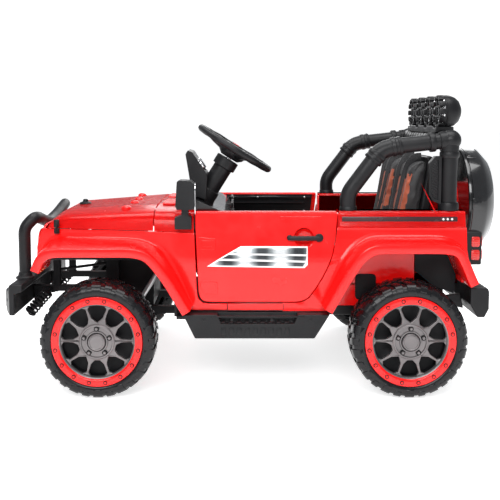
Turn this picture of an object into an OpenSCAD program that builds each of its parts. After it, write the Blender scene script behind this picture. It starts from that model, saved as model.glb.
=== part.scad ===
// Child's two-seat battery ride-on 4x4, open topped.
// +X is forward, +Y is the driver's left, +Z is up; the ground is z = 0.

/* [Wheels] */
// Distance between the front and rear axles
wheelbase = 774; // [600:1:1000]
// Tyre radius
tyre_r = 145; // [110:1:180]
// Tyre width
tyre_w = 112; // [80:1:125]
// Rim radius inside the tyre
rim_r = 95; // [70:1:105]
// Radius of the wheel's stub axle
axle_r = 8; // [5:0.5:12]

/* [Body] */
// Half width of the body at the doors
body_half_w = 290; // [250:1:310]
// Half width lost between waist and belt line
tumblehome = 20; // [0:1:40]
// Height of the belt line
belt_z = 459; // [430:1:500]
// Height of the sill's lower edge
sill_z = 207; // [190:1:215]
// Height of the lower door edge
door_bottom_z = 228; // [222:1:250]
// Thickness of the body's outer walls
skin_t = 14; // [8:1:18]
// Gap round each door
door_gap = 4; // [3:0.5:8]
// Gap round the bonnet
hood_gap = 1; // [0.6:0.1:4]
// Thickness of the bonnet shell
hood_t = 8; // [4:1:14]
// Height where the bonnet meets the wings
wing_z = 406; // [395:1:415]
// How far the wheel arch flares stand out from the doors
flare_out = 55; // [40:1:70]

/* [Bars and lamps] */
// Roll bar tube radius
bar_r = 21; // [14:1:26]
// Bull bar tube radius
bull_r = 16; // [10:1:20]
// Roof lamp radius
lamp_r = 44; // [30:1:46]
// Gap between two roof lamps
lamp_gap = 12; // [6:1:30]
// Spare wheel cover radius
spare_r = 149; // [110:1:160]

/* [Controls] */
// Steering wheel rim radius, to the middle of the grip
steer_r = 106; // [80:1:125]
// Steering wheel grip radius
grip_r = 9.5; // [6:0.5:13]
// Length of each steering arm
steer_arm = 60; // [45:1:70]
// Kingpin radius
kingpin_r = 5; // [3:0.5:7]

/* [Hidden] */

red = "crimson";
black = [0.09, 0.09, 0.1];
steel = "silver";
gunmetal = "dimgray";

fit = 0.3;                       // gap between curved faces that lie together
running = 0.08;                  // radial clearance of a turning shaft
$fn = 48;

// Wheels and axles
front_x = 413;
rear_x = front_x - wheelbase;
wheel_z = tyre_r;
tyre_inner_y = body_half_w - 35;
wheel_y = tyre_inner_y + tyre_w / 2;
flare_y = body_half_w + flare_out;
kingpin_y = tyre_inner_y - 30;
kingpin_reach = 33;              // half height of the knuckle's barrel
ear_t = 7;                       // thickness of the axle's fork ears
axle_end_y = wheel_y + 32;       // outer end of a stub axle
arm_x = front_x - steer_arm;     // line of the track rod
arm_t = 8;
rod_top_z = wheel_z - kingpin_reach - 3;
rod_t = 8;

// Steering column, pointing from the crank up to the driver
column_tilt = 32;
column_pos = [73, 120, 614];
crank_depth = (column_pos[2] - wheel_z + 10) / cos(column_tilt);
crank_r = steer_arm * sin(25) / sin(60);
crank_pin_r = 3.5;

// Frame rails
rail_y = 100;
rail_w = 20;
rail_z = wheel_z + axle_r + 1;      // underside of the rails, just over the rear axle
rail_h = 20;
floor_z = rail_z + rail_h + 2;
floor_t = 8;
damper_line = [[580, 226], [628, 172]];
damper_ends = [[584, 222], [621, 180]];
link_ends = [294, 277];          // heights of the links' rear and front ends
riser_x = 558;                   // rear face of the front risers

// Body stations along X
cowl_x = 281;
door_front_x = 175;
wall_x = 224;                    // rear face of the firewall
hinge_x = 155;                   // door hinge line, near the outer face
tail_x = rear_x - 154;
aft = rear_x + 361;              // how far the tail end sits from its place at a wheelbase of 774
taper = 11.55;                   // plan angle of the wings, in degrees
bay_z = 318;                     // underside of the bonnet bay
waist_z = 340;                   // height where the sides start to lean in
inner_y = body_half_w - 75;      // inner face of the rear quarters
nose_half = body_half_w - 92;    // half width of the front panel
headlight_y = nose_half - 56;
slot_half = headlight_y - 50;    // half length of the grille slots
dash_half = body_half_w - 52;
jamb_y = body_half_w - 46;       // inner edge of the front door jamb
bar_y = body_half_w - 47;        // roll bar line
lamp_pitch = 2 * lamp_r + lamp_gap;
arch_wall_y = tyre_inner_y - 17; // inner wall of the rear wheel arches
gearbox_y = arch_wall_y - 50;    // inner face of the gearboxes
seat_z = 300;                    // top of the seat base
seat_front = aft - 130.3;        // front face of the seat base

// A door's outline in X and Z, each point with the way it moves as the gap grows
DOOR_FRONT = [[175, 459, 1, 0], [172, 400, 1, 0], [169, 340, 1, 0], [165, 252, 1, -0.1], [161, 238, 0.9, -0.5],
              [152, 230, 0.4, -0.9], [140, 228, 0, -1]];
DOOR_REAR = [for (p = [[-83, 228, 0, -1], [-101, 231, -0.4, -0.9], [-116, 240, -0.8, -0.6],
                       [-133, 263, -0.85, -0.5], [-150, 291, -0.85, -0.5], [-165, 322, -0.9, -0.4],
                       [-175, 350, -0.95, -0.3], [-183, 390, -1, -0.2], [-189, 459, -1, 0]])
             p + [aft, 0, 0, 0]];
DOOR = concat(DOOR_FRONT, DOOR_REAR);

// Wheel arch edges in X and Z, from the door side towards the bumper
FRONT_ARCH = [[203, 206], [252, 288], [282, 326], [296, 340], [314, 349], [336, 352], [520, 352],
              [536, 348], [548, 337], [557, 312]];
FRONT_ARCH_TOP = [[176, 206], [229, 302], [262, 344], [282, 361], [306, 373], [334, 377], [524, 377],
                  [546, 372], [565, 358], [577, 338], [585, 312]];
REAR_ARCH = moved([[-170, 211], [-225, 307], [-249, 340], [-272, 355], [-296, 361], [-447, 361],
                   [-471, 355], [-483, 340], [-504, 293], [-512, 277]], aft);
REAR_ARCH_TOP = moved([[-143, 211], [-201, 319], [-226, 353], [-254, 374], [-290, 383], [-453, 383],
                       [-482, 376], [-503, 352], [-526, 300], [-534, 277]], aft);

function moved(list, x) = [for (p = list) [p[0] + x, p[1]]];
function reversed(list) = [for (i = [len(list) - 1 : -1 : 0]) list[i]];
function grown(list, g) = [for (p = list) [p[0] + g * p[2], p[1] + g * p[3]]];

// ---------- helpers ----------
module sided(side) {
    if (side > 0) children();
    else mirror([0, 1, 0]) children();
}

module both() {
    for (side = [-1, 1]) sided(side) children();
}

// A side-view outline in X and Z, thick from y0 to y1
module slab(points, y0, y1) {
    translate([0, y1, 0]) rotate([90, 0, 0]) linear_extrude(y1 - y0) polygon(points);
}

module box(x0, x1, y0, y1, z0, z1) {
    translate([x0, y0, z0]) cube([x1 - x0, y1 - y0, z1 - z0]);
}

// A cross-section in Y and Z, long from x0 to x1
module section(points, x0, x1) {
    translate([x0, 0, 0]) rotate([90, 0, 90]) linear_extrude(x1 - x0) polygon(points);
}

module rod(p0, p1, r) {
    d = p1 - p0;
    length = norm(d);
    translate(p0) rotate([0, acos(d[2] / length), atan2(d[1], d[0])]) cylinder(r = r, h = length);
}

// The body's outline seen from the front, left half, behind and ahead of the door's front edge
module rear_envelope(t) {
    section([[-5, 100], [body_half_w - t, 100], [body_half_w - t, waist_z],
             [body_half_w - tumblehome - t, belt_z], [-5, belt_z]], tail_x, door_front_x + 1);
}

module front_envelope(t) {
    translate([door_front_x, body_half_w - t, 0]) rotate([0, 0, -taper])
        section([[-400, 100], [0, 100], [0, waist_z], [-4, wing_z], [-13, 437], [-tumblehome, belt_z],
                 [-60, belt_z + 3], [-150, belt_z + 6], [-400, belt_z + 7]], -20, 460);
}

module rear_skin(t) {
    difference() { rear_envelope(0); rear_envelope(t); }
}

module front_skin(t) {
    difference() { front_envelope(0); front_envelope(t); }
}

// A tube swept along points, with flat ends square to z at the first and last points
function unit(v) = v / norm(v);
function ring_at(p, d, side_dir, r, n) =
    let (u = unit(cross(d, side_dir)), v = unit(cross(u, d)))
    [for (i = [0 : n - 1]) p + r * (cos(360 * i / n) * u + sin(360 * i / n) * v)];

module sweep(points, r, side_dir, first_dir, last_dir, n = 16) {
    last = len(points) - 1;
    rings = [for (i = [0 : last])
        let (d = i == 0 ? first_dir : i == last ? last_dir
                 : unit(points[i + 1] - points[i]) + unit(points[i] - points[i - 1]))
        ring_at(points[i], unit(d), side_dir, r, n)];
    vertices = [for (ring = rings) for (p = ring) p];
    sides = [for (i = [0 : last - 1]) for (j = [0 : n - 1])
        [i * n + j, i * n + (j + 1) % n, (i + 1) * n + (j + 1) % n, (i + 1) * n + j]];
    polyhedron(vertices, concat([[for (j = [n - 1 : -1 : 0]) j]], sides, [[for (j = [0 : n - 1]) last * n + j]]));
}

// Points of a path with each corner rounded to radius-like length c, k points a corner
function eased(p, c, k = 5) = [for (i = [0 : len(p) - 1])
    if (i == 0 || i == len(p) - 1) p[i]
    else let (a = p[i] + c * unit(p[i - 1] - p[i]), b = p[i] + c * unit(p[i + 1] - p[i]))
        for (j = [0 : k]) let (t = j / k) (1 - t) * (1 - t) * a + 2 * t * (1 - t) * p[i] + t * t * b];
function flat_list(list) = [for (e = list) if (is_num(e[0])) e else for (f = e) f];

module along_column() {
    translate(column_pos) rotate([0, -column_tilt, 0]) children();
}

module shaft_path(r) {
    along_column() translate([0, 0, -crank_depth]) cylinder(r = r, h = crank_depth - 60);
}

// ---------- chassis ----------
module chassis_frame() color(black) {
    bush_x = column_pos[0] + tan(column_tilt) * (column_pos[2] - rail_z - rail_h / 2);
    difference() {
        union() {
            both() {
                box(tail_x + 15, front_x + 17, rail_y - rail_w / 2, rail_y + rail_w / 2, rail_z, rail_z + rail_h);
                box(front_x - 18, front_x + 17, rail_y - rail_w / 2, rail_y + rail_w / 2, rail_z, bay_z);
                box(front_x + 17, 631.7, rail_y - rail_w / 2, rail_y + rail_w / 2, 217, 233);
                for (p = damper_ends)
                    box(p[0] - 10, p[0] + 10, rail_y - rail_w / 2, rail_y + rail_w / 2,
                        min(p[1] - 9, 230), max(p[1] + 9, 220));
                box(riser_x, riser_x + 18, rail_y - rail_w / 2, rail_y + rail_w / 2, 217, bay_z);
                box(tail_x + 15, tail_x + 32, rail_y - rail_w / 2, rail_y + rail_w / 2, rail_z, 262);
                box(tail_x - 1.7, tail_x + 32, rail_y - rail_w / 2, rail_y + rail_w / 2, 246, 262);
            }
            box(bush_x - 20, bush_x + 22, -150, 150, rail_z, rail_z + rail_h);
            box(rear_x - 40, rear_x - 16, -gearbox_y, gearbox_y, rail_z, rail_z + rail_h);
        }
        shaft_path(7 + running);
    }
}

module floor_pan() color(black) {
    half = body_half_w - 28 - fit;
    difference() {
        union() {
            box(seat_front + fit, wall_x, -half, half, floor_z, floor_z + floor_t);
            box(wall_x, wall_x + 8, fit + 6 - arch_wall_y, arch_wall_y - 6 - fit, floor_z, belt_z - 10 - fit);
        }
        shaft_path(12);
    }
}

module front_axle() color(black) {
    difference() {
        union() {
            box(front_x - 12, front_x + 12, -kingpin_y + 27, kingpin_y - 27, wheel_z - 10, rail_z);
            both() {
                box(front_x - 14, front_x + 14, kingpin_y - 29, kingpin_y - 19,
                    wheel_z - kingpin_reach - fit - ear_t, wheel_z + kingpin_reach + fit + ear_t);
                for (z = [wheel_z - kingpin_reach - fit - ear_t, wheel_z + kingpin_reach + fit])
                    translate([front_x, kingpin_y, z]) {
                        translate([-14, -20, 0]) cube([28, 20, ear_t]);
                        cylinder(r = 14, h = ear_t);
                    }
            }
        }
        both() translate([front_x, kingpin_y, 0]) cylinder(r = kingpin_r + running, h = 300);
    }
}

module knuckle(side) color(steel) sided(side) {
    translate([front_x, kingpin_y, wheel_z]) {
        translate([0, 0, -kingpin_reach]) cylinder(r = 13, h = 2 * kingpin_reach);
        translate([0, 0, -kingpin_reach - ear_t - 4]) cylinder(r = kingpin_r, h = 2 * (kingpin_reach + ear_t + 4));
        rotate([-90, 0, 0]) cylinder(r = 13, h = 30);
        rotate([-90, 0, 0]) cylinder(r = axle_r, h = axle_end_y - kingpin_y);
        translate([-steer_arm, -8, -kingpin_reach]) cube([steer_arm, 16, arm_t]);
        translate([-steer_arm, 0, -kingpin_reach]) cylinder(r = 10, h = arm_t);
        translate([-steer_arm, 0, -kingpin_reach - 3 - rod_t - 3]) cylinder(r = 4, h = 6 + rod_t + 1);
    }
}

module tie_rod() color(steel) difference() {
    slot_x = arm_x - 8;
    union() {
        box(arm_x - 7, arm_x + 7, -kingpin_y, kingpin_y, rod_top_z - rod_t, rod_top_z);
        both() translate([arm_x, kingpin_y, rod_top_z - rod_t]) cylinder(r = 10, h = rod_t);
        box(slot_x - 8, slot_x + 52, column_pos[1] - 16, column_pos[1] + 16, rod_top_z - rod_t, rod_top_z);
    }
    both() translate([arm_x, kingpin_y, 0]) cylinder(r = 4 + fit, h = 200);
    box(slot_x, slot_x + 44, column_pos[1] - crank_pin_r - 2, column_pos[1] + crank_pin_r + 2, 0, 200);
}

module rear_axle() color(steel) translate([rear_x, -axle_end_y, wheel_z])
    rotate([-90, 0, 0]) cylinder(r = axle_r, h = 2 * axle_end_y);

module gearboxes() color(black) both() difference() {
    union() {
        box(rear_x - 45, rear_x + 55, gearbox_y + fit, tyre_inner_y - 8, wheel_z - 40, rail_z - 1);
        box(rear_x - 40, rear_x - 16, gearbox_y + fit, tyre_inner_y - 8, rail_z - 1, rail_z + rail_h);
    }
    translate([rear_x, 0, wheel_z]) rotate([-90, 0, 0]) cylinder(r = axle_r + running, h = 400);
}

module front_dampers() color(black) both() {
    damper_y = kingpin_y - 58;
    rod([damper_line[0][0], damper_y, damper_line[0][1]], [damper_line[1][0], damper_y, damper_line[1][1]], 15);
    for (p = damper_ends) rod([p[0], rail_y + rail_w / 2 + fit, p[1]], [p[0], damper_y, p[1]], 5);
}

// A rod a side between the frame's risers
module front_links() color(black) both()
    rod([front_x + 17.5, rail_y, link_ends[0]], [riser_x - 0.5, rail_y, link_ends[1]], 4);

// Black housing between the rails, over the steering cross-member
module front_housing() color(black)
    box(300, front_x + 12, fit + rail_w / 2 - rail_y, rail_y - rail_w / 2 - fit, rail_z + rail_h + fit, bay_z - 6);

// ---------- wheels ----------
module place_wheel(x, side) sided(side) translate([x, wheel_y, wheel_z]) rotate([-90, 0, 0]) children();

module tyre(x, side) color(black) place_wheel(x, side) {
    h = tyre_w / 2;
    rotate_extrude($fn = 96) polygon([[rim_r, 8 - h], [rim_r + 18, 6 - h], [tyre_r - 20, -h], [tyre_r - 6, 4 - h],
        [tyre_r, 12 - h], [tyre_r, h - 12], [tyre_r - 6, h - 4], [tyre_r - 20, h], [rim_r + 22, h - 4],
        [rim_r + 18.3, h - 8], [rim_r, h - 8]]);
}

module rim(x, side) color(gunmetal) place_wheel(x, side) {
    h = tyre_w / 2;
    difference() {
        union() {
            rotate_extrude() polygon([[rim_r - 8, 8 - h], [rim_r - 0.1, 8 - h], [rim_r - 0.1, h - 8],
                [rim_r + 18, h - 8], [rim_r + 18, h - 2], [rim_r - 8, h - 4]]);
            translate([0, 0, h - 22]) cylinder(r = rim_r - 4, h = 9);
            translate([0, 0, 6 - h]) cylinder(r = 20, h = tyre_w - 20);
            translate([0, 0, h - 22]) cylinder(r = 43, h = 16);
            translate([0, 0, h - 22]) cylinder(r = 22, h = 22);
        }
        for (i = [0 : 9]) rotate([0, 0, 36 * i]) translate([0.71 * rim_r, 0, 0]) cylinder(r = 0.165 * rim_r, h = h);
        translate([0, 0, -h - 1]) cylinder(r = axle_r + running, h = h + 1 + axle_end_y - wheel_y + 2);
    }
}

// ---------- red body ----------
module flare(top, arch) {
    both() {
        slab(concat(arch, reversed(top)), flare_y - 20, flare_y);
        slab(concat(arch, reversed(shifted_band(arch))), arch_wall_y - 6, flare_y - 10);
    }
}

// A thin band outside an arch edge
function shifted_band(arch) = [for (i = [0 : len(arch) - 1])
    let (a = arch[max(i - 1, 0)], b = arch[min(i + 1, len(arch) - 1)], d = unit(b - a),
         n = d[0] >= 0 ? [-d[1], d[0]] : [d[1], -d[0]])
    arch[i] + 9 * n];

module door_opening() {
    slab(concat([[DOOR[15][0] - door_gap, belt_z + 20], [DOOR[0][0] + door_gap, belt_z + 20]], grown(DOOR, door_gap)),
        205, 420);
}

module front_body() color(red) difference() {
    union() {
        both() {
            intersection() {
                front_skin(skin_t);
                slab([[door_front_x - 2, belt_z], [cowl_x - 2, belt_z],
                      [cowl_x - 2, wing_z], [590, wing_z], [590, bay_z],
                      [262, bay_z], [196, sill_z], [150, sill_z], [150, 227]], 0, 400);
            }
            intersection() {
                rear_skin(28);
                slab([[91, sill_z], [door_front_x + 1, sill_z], [door_front_x + 1, door_bottom_z - door_gap],
                      [91, door_bottom_z - door_gap]], 0, 400);
            }
            intersection() {
                union() { rear_envelope(0); front_envelope(0); }
                difference() {
                    slab(concat([[90, belt_z]], grown(DOOR_FRONT, door_gap + 8), [[90, 216]]), jamb_y, 400);
                    door_opening();
                }
                box(91, 200, jamb_y, 400, sill_z, belt_z);
            }
            intersection() {
                front_envelope(skin_t - 1);
                box(wall_x + 8 + fit, 590, -1, 300, bay_z, bay_z + 8);
            }
            intersection() {
                difference() { front_envelope(1); translate([0, 0, -10]) front_envelope(1); }
                box(wall_x, cowl_x - 2, -1, 300, belt_z - 10, belt_z + 10);
            }
        }
        slab([[574, bay_z], [590, bay_z], [598, 335], [597, 355], [592, 380], [585, 398], [575, 418], [572.5, 419],
              [572.5, 400], [580, 385], [584, 355], [584, 335], [574, 330]], -nose_half, nose_half);
        flare(FRONT_ARCH_TOP, FRONT_ARCH);
    }
    both() door_opening();
    shaft_path(14);
    for (y = [-headlight_y, headlight_y]) translate([500, y, 362]) rotate([0, 90, 0]) cylinder(r = 36 + fit, h = 200);
    for (i = [0 : 3]) box(560, 610, -slot_half, slot_half, 338 + 12 * i, 345 + 12 * i);
    for (side = [-1, 1])
        sided(side) translate([hinge_x, body_half_w - 5, sill_z + 1]) cylinder(r = 2.5 + fit, h = 34);
}

module sills() color(red) both() intersection() {
    rear_skin(28);
    slab([[aft - 51, sill_z], [91, sill_z], [91, door_bottom_z - door_gap], [aft - 51, door_bottom_z - door_gap]],
        0, 400);
}

module rear_body() color(red) {
    both() {
        difference() {
            union() {
                intersection() {
                    rear_skin(skin_t);
                    slab(concat([[aft - 51, sill_z], [aft - 168, sill_z]], REAR_ARCH,
                        [[tail_x, 277], [tail_x, belt_z], [aft - 100, belt_z], [aft - 51, 300]]), 0, 400);
                }
                intersection() {
                    rear_skin(28);
                    box(aft - 172, aft - 51, 0, 400, sill_z, 236);
                }
                intersection() {
                    rear_envelope(0);
                    slab(concat([[aft - 78, belt_z]], reversed(grown(DOOR_REAR, door_gap + 8)), [[aft - 78, 216]]),
                        inner_y, 400);
                }
            }
            door_opening();
        }
        intersection() {
            rear_envelope(1);
            box(tail_x, aft - 190 - door_gap, inner_y, 400, belt_z - 8, belt_z);
        }
        box(tail_x, aft - 190 - door_gap, inner_y, inner_y + 8, seat_z - 40, belt_z);
        box(aft - 395, aft - 178, arch_wall_y - 8, arch_wall_y, sill_z, 366);
        box(aft - 395, aft - 178, inner_y, arch_wall_y, seat_z - 40, seat_z - 32);
        intersection() {
            rear_envelope(1);
            box(tail_x, tail_x + 12, -1, 400, 271.3, belt_z);
        }
    }
    flare(REAR_ARCH_TOP, REAR_ARCH);
    translate([tail_x - 44.7, 0, 464]) rotate([0, 90, 0]) cylinder(r = 50, h = 45);
}

// Black liners at the back of the rear arches
module rear_liners() color(black) both()
    slab(moved([[-395.3, 353], [-469, 353], [-481, 338], [-502, 290], [-502, 280], [-498, 240], [-440, 262],
                [-395.3, 300]], aft),
        inner_y + 8 + fit, arch_wall_y + 2);

module hood() color(red) {
    difference() {
        intersection() {
            both() hood_form(hood_gap);
            slab([[cowl_x + hood_gap, wing_z + 0.6], [cowl_x + hood_gap, 470], [540, 470], [552, 436], [561, 428],
                  [566, 419], [568, wing_z + 0.6]], -500, 500);
        }
        intersection() {
            both() translate([0, 0, -hood_t]) hood_form(hood_t + hood_gap);
            slab([[cowl_x - 10, wing_z - 20], [cowl_x - 10, 470], [532, 470], [544, 429], [552, 422], [557, 415],
                  [559, wing_z - 20]], -500, 500);
        }
    }
}

module hood_form(inset) {
    translate([cowl_x, body_half_w - (cowl_x - door_front_x) * tan(taper) - inset, 457]) rotate([0, 3.5, -taper])
        section([[-300, 6], [-120, 5], [-60, 2], [-30, -2], [-17, -7], [-9, -15], [-5, -26], [-3, -56],
                 [-3, -120], [-300, -120]], -40, 330);
}

module hood_latches() color(black) both()
    translate([540, body_half_w - (540 - door_front_x) * tan(taper) - 2 + fit, 0]) rotate([0, 0, -taper])
        translate([-7, -3, wing_z + 2]) cube([14, 7, 20]);

// ---------- doors ----------
module door(side) color(red) sided(side) {
    difference() {
        union() {
            intersection() {
                rear_skin(9);
                slab(grown(DOOR, 0), 0, 400);
            }
            intersection() {
                translate([0, -9, 0]) rear_skin(7);
                slab(grown(DOOR, -6), 0, 400);
            }
        }
        translate([aft - 103, body_half_w + 5, 392]) sphere(r = 24);
    }
    translate([hinge_x, body_half_w - 5, sill_z + 5]) cylinder(r = 2.5, h = door_bottom_z - sill_z + 10);
}

module door_card(side) color(black) sided(side) intersection() {
    translate([0, -16, 0]) rear_skin(6);
    slab(grown(DOOR, -14), 0, 400);
    box(aft - 200, 200, 0, 400, 200, belt_z - 6);
}

module door_handle(side) color(black) sided(side) translate([aft, 0, 0]) {
    y = body_half_w + 2 - tumblehome * (392 - waist_z) / (belt_z - waist_z);
    translate([-141, y + fit, 392]) rotate([-90, 0, 0]) cylinder(r = 10, h = 14);
    translate([-141, y + 8, 386]) cube([78, 8, 12]);
    translate([-70, y + fit, 386]) cube([7, 9, 12]);
}

// ---------- cabin ----------
module dashboard() color(black) difference() {
    slab([[wall_x - fit, 400], [wall_x - fit, 462], [185, 489], [100, 452], [80, 432], [92, 404], [130, 396]],
        -dash_half, dash_half);
    along_column() translate([0, 0, -400]) cylinder(r = 30, h = 400);
}

module instrument_pod() color(black) difference() {
    slab([[150, 479], [186, 490], [204, 600], [198, 610], [186, 606], [146, 545]],
        column_pos[1] - 58, column_pos[1] + 58);
    along_column() translate([0, 0, -400]) cylinder(r = 30, h = 400);
}

module steering_column() color(black) along_column() difference() {
    union() {
        translate([0, 0, -190]) cylinder(r = 29.7, h = 60);
        translate([0, 0, -132]) cylinder(r = 26, h = 92);
        translate([0, 0, -60]) cylinder(r = 32, h = 26);
    }
    translate([0, 0, -200]) cylinder(r = 9, h = 200);
}

module steering_wheel() color(black) along_column() {
    rotate_extrude($fn = 96) translate([steer_r, 0]) circle(r = grip_r);
    difference() {
        union() {
            translate([0, 0, -22]) cylinder(r = 38, h = 34);
            for (a = [0, 130, 230]) rotate([0, 0, a + 180]) translate([20, -13, -7]) cube([steer_r - 24, 26, 12]);
        }
        translate([0, 0, -30]) cylinder(r = 7 + running, h = 24);
    }
    translate([0, 0, -33]) difference() {
        cylinder(r = 20, h = 12);
        translate([0, 0, -1]) cylinder(r = 7 + running, h = 14);
    }
}

module steering_shaft() color(steel) along_column() {
    translate([0, 0, -crank_depth]) cylinder(r = 7, h = crank_depth - 8);
    translate([0, 0, -crank_depth]) cylinder(r = 12, h = 8);
    translate([-crank_r, -7, -crank_depth]) cube([crank_r, 14, 8]);
    translate([-crank_r, 0, -crank_depth]) cylinder(r = 7, h = 8);
    translate([-crank_r, 0, -crank_depth - 30]) cylinder(r = crank_pin_r, h = 32);
}

module seat_base() color(black) difference() {
    box(tail_x + 37, seat_front, fit - inner_y, inner_y - fit, floor_z, seat_z);
    box(tail_x + 45, seat_front - 8, 8 - inner_y, inner_y - 8, floor_z - 1, seat_z - 8);
}

module seat(side) color(black) sided(side)
    slab(moved([[-150, seat_z + fit], [-140, 322], [-150, 334], [-330, 338], [-352, 350], [-395, 560], [-405, 585],
                [-428, 592], [-436, 580], [-402, 360], [-396, seat_z + fit]], aft), 14, inner_y - 11);

module seat_shells() color(black) both()
    slab(moved([[-396.5, seat_z], [-402.5, 360], [-436.5, 580], [-428, 592.5], [-440, 597], [-452, 590],
                [-452, 500], [-428, 400], [-420, seat_z]], aft), 18, inner_y - 15);

module pedal() color(black) translate([0, 0, floor_z + floor_t])
    slab([[150, 0], [200, 0], [200, 40], [190, 42]], 90, 150);

// ---------- bars, lamps, spare ----------
bar_side = flat_list(eased([[-220, 0, belt_z], [-217, 0, 500], [-300, 0, 612], [-338, 0, 623], [-450, 0, 636]], 18));
bar_last = unit([-112, 0, 13]);

module roll_bar() color(black) both() translate([aft, bar_y, 0]) {
    sweep(bar_side, bar_r, [0, 1, 0], [0, 0, 1], bar_last);
    translate([-478, 0, belt_z]) cylinder(r = bar_r, h = 150);
}

module roll_cross_bar() color(black) translate([aft, 0, 0]) {
    translate([-480, -bar_y, 639]) rotate([-90, 0, 0]) cylinder(r = bar_r + 2, h = 2 * bar_y);
    both() translate([-480, bar_y, 639]) {
        sphere(r = bar_r + 6);
        translate([2, 0, -29.7]) cylinder(r = bar_r + 3, h = 20);
        rotate([0, 90 + atan(13 / 112), 0]) translate([0, 0, 6]) cylinder(r = bar_r + 3, h = 23.6);
    }
}

module side_grilles() color(black) both() translate([aft + 21 - bar_r, 0, 0])
    slab([[-425, 500], [-436, 482], [-456.7, 474], [-456.7, 598], [-440, 598], [-425, 580]], bar_y - 12, bar_y + 12);

module lamp_pods() {
    for (i = [-1.5 : 1 : 1.5])
        translate([aft - 450, i * lamp_pitch, 669 + lamp_r]) rotate([0, -90, 0]) children();
}

module roof_lamps() color(black) lamp_pods()
    rotate_extrude() polygon([[0, 14], [lamp_r - 3, 14], [lamp_r, 18], [lamp_r, 38],
        [0.93 * lamp_r, 52], [0.75 * lamp_r, 65],
        [0.45 * lamp_r, 76], [0, 80]]);

module lamp_bar() color(black) difference() {
    box(aft - 508, aft - 460, -1.7 * lamp_pitch, 1.7 * lamp_pitch, 655, 675);
    lamp_pods() translate([0, 0, -20]) cylinder(r = lamp_r + fit, h = 120);
    translate([aft - 480, -2 * bar_y, 639]) rotate([-90, 0, 0]) cylinder(r = bar_r + 2 + fit, h = 4 * bar_y);
    box(aft - 520, aft - 440, -2 * lamp_pitch, 2 * lamp_pitch, 640, 657);
}

module spare_wheel_cover() color(black) translate([tail_x - 45, 0, 464]) rotate([0, -90, 0]) {
    rotate_extrude($fn = 96) polygon([[0, 0], [spare_r - 4, 0], [spare_r, 6], [spare_r, 50],
        [spare_r - 30, 80], [0, 80]]);
}

module spare_cap() color(black) translate([tail_x - 125.3, 0, 464]) rotate([0, -90, 0]) {
    translate([-42, -42, 0]) cube([84, 84, 22]);
    translate([0, 0, 22]) cylinder(r = 14, h = 9);
}

module tail_lights() color(black) both()
    box(tail_x - 45, tail_x - fit, inner_y + 7, body_half_w - 22, 320, 405);

module rear_bumper() color(black) translate([aft, 0, 0]) {
    slab([[-517, 271], [-560, 271], [-564, 262], [-564, 218], [-553, 197], [-536, 197], [-517, 230]],
        20 - flare_y, flare_y - 20);
    both() slab([[-516, 239], [-478, 233], [-470, 225], [-500, 205], [-525, 200]], inner_y + 10, inner_y + 25);
}

module front_bumper() color(black) {
    intersection() {
        slab([[632, 195], [662, 195], [670, 206], [670, 250], [664, 256], [650, 256], [645, 274], [612, 274],
              [612, 256], [632, 250]], -body_half_w - 10, body_half_w + 10);
        linear_extrude(400) polygon([[600, -body_half_w - 10], [645, -body_half_w - 10], [671, 50 - body_half_w],
            [671, body_half_w - 50], [645, body_half_w + 10], [600, body_half_w + 10]]);
    }
}

bull_y = nose_half + 2;
bull_side = [[629, 0, 274], [629, 0, 406], [606, -8, 432], [602, -40, 430], [607, -125, 411]];
bull_path = flat_list(eased(concat([for (p = bull_side) p + [0, bull_y, 0]], [[611, 0, 399]],
    [for (p = reversed(bull_side)) [p[0], -bull_y - p[1], p[2]]]), 14));

module bull_bar() color(black)
    sweep(bull_path, bull_r, [1, 0.01, 0.3], [0, 0, 1], [0, 0, -1]);

module side_steps() color(black) both() difference() {
    slab([[203, 203], [173, 142], [aft - 128, 142], [aft - 166, 203]], body_half_w - 50, body_half_w + 32);
    slab([[120, 210], [106, 180], [aft - 76, 180], [aft - 89, 210]], body_half_w + 6, body_half_w + 40);
    box(aft - 200, 230, 0, body_half_w - 28 + fit, floor_z - fit, floor_z + floor_t + 40);
}

module mirrors() color(black) both() {
    difference() {
        slab([[182, 416], [224, 416], [224, 445], [207, 451], [207, 470], [190, 470], [190, 451], [182, 446]],
            body_half_w - 50, body_half_w + 10);
        front_envelope(-fit);
        box(150, 240, 100, body_half_w - 32, 400, 480);
    }
    slab([[171, 478], [180, 469], [216, 469], [220, 476], [216, 538], [208, 542], [181, 540], [172, 530]],
        body_half_w - 10, body_half_w + 40);
}

module headlights() color("white") {
    for (y = [-headlight_y, headlight_y]) translate([576, y, 362]) rotate([0, 90, 0]) cylinder(r = 36, h = 24);
}

module grille_insert() color(black) box(575, 579.7, -slot_half - 8, slot_half + 8, 335.5, 382);

module battery() color(gunmetal) box(330, 481, -49, 49, bay_z + 8, bay_z + 8 + 65);

chassis_frame();
floor_pan();
front_body();
sills();
rear_body();
grille_insert();
headlights();
battery();
dashboard();
instrument_pod();
steering_column();
seat_base();
seat(1);  // seat_left
seat(-1);  // seat_right
seat_shells();
roll_bar();
roll_cross_bar();
side_grilles();
roof_lamps();
lamp_bar();
spare_wheel_cover();
spare_cap();
tail_lights();
rear_bumper();
front_bumper();
bull_bar();
side_steps();
mirrors();
front_axle();
rear_axle();
gearboxes();
front_dampers();
front_links();
front_housing();
rear_liners();
pedal();
hood();
hood_latches();
door(1);  // door_left
door(-1);  // door_right
door_card(1);  // door_card_left
door_card(-1);  // door_card_right
door_handle(1);  // door_handle_left
door_handle(-1);  // door_handle_right
steering_wheel();
steering_shaft();
knuckle(1);  // knuckle_left
knuckle(-1);  // knuckle_right
tie_rod();
tyre(front_x, 1);  // tyre_front_left
tyre(front_x, -1);  // tyre_front_right
tyre(rear_x, 1);  // tyre_rear_left
tyre(rear_x, -1);  // tyre_rear_right
rim(front_x, 1);  // rim_front_left
rim(front_x, -1);  // rim_front_right
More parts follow.
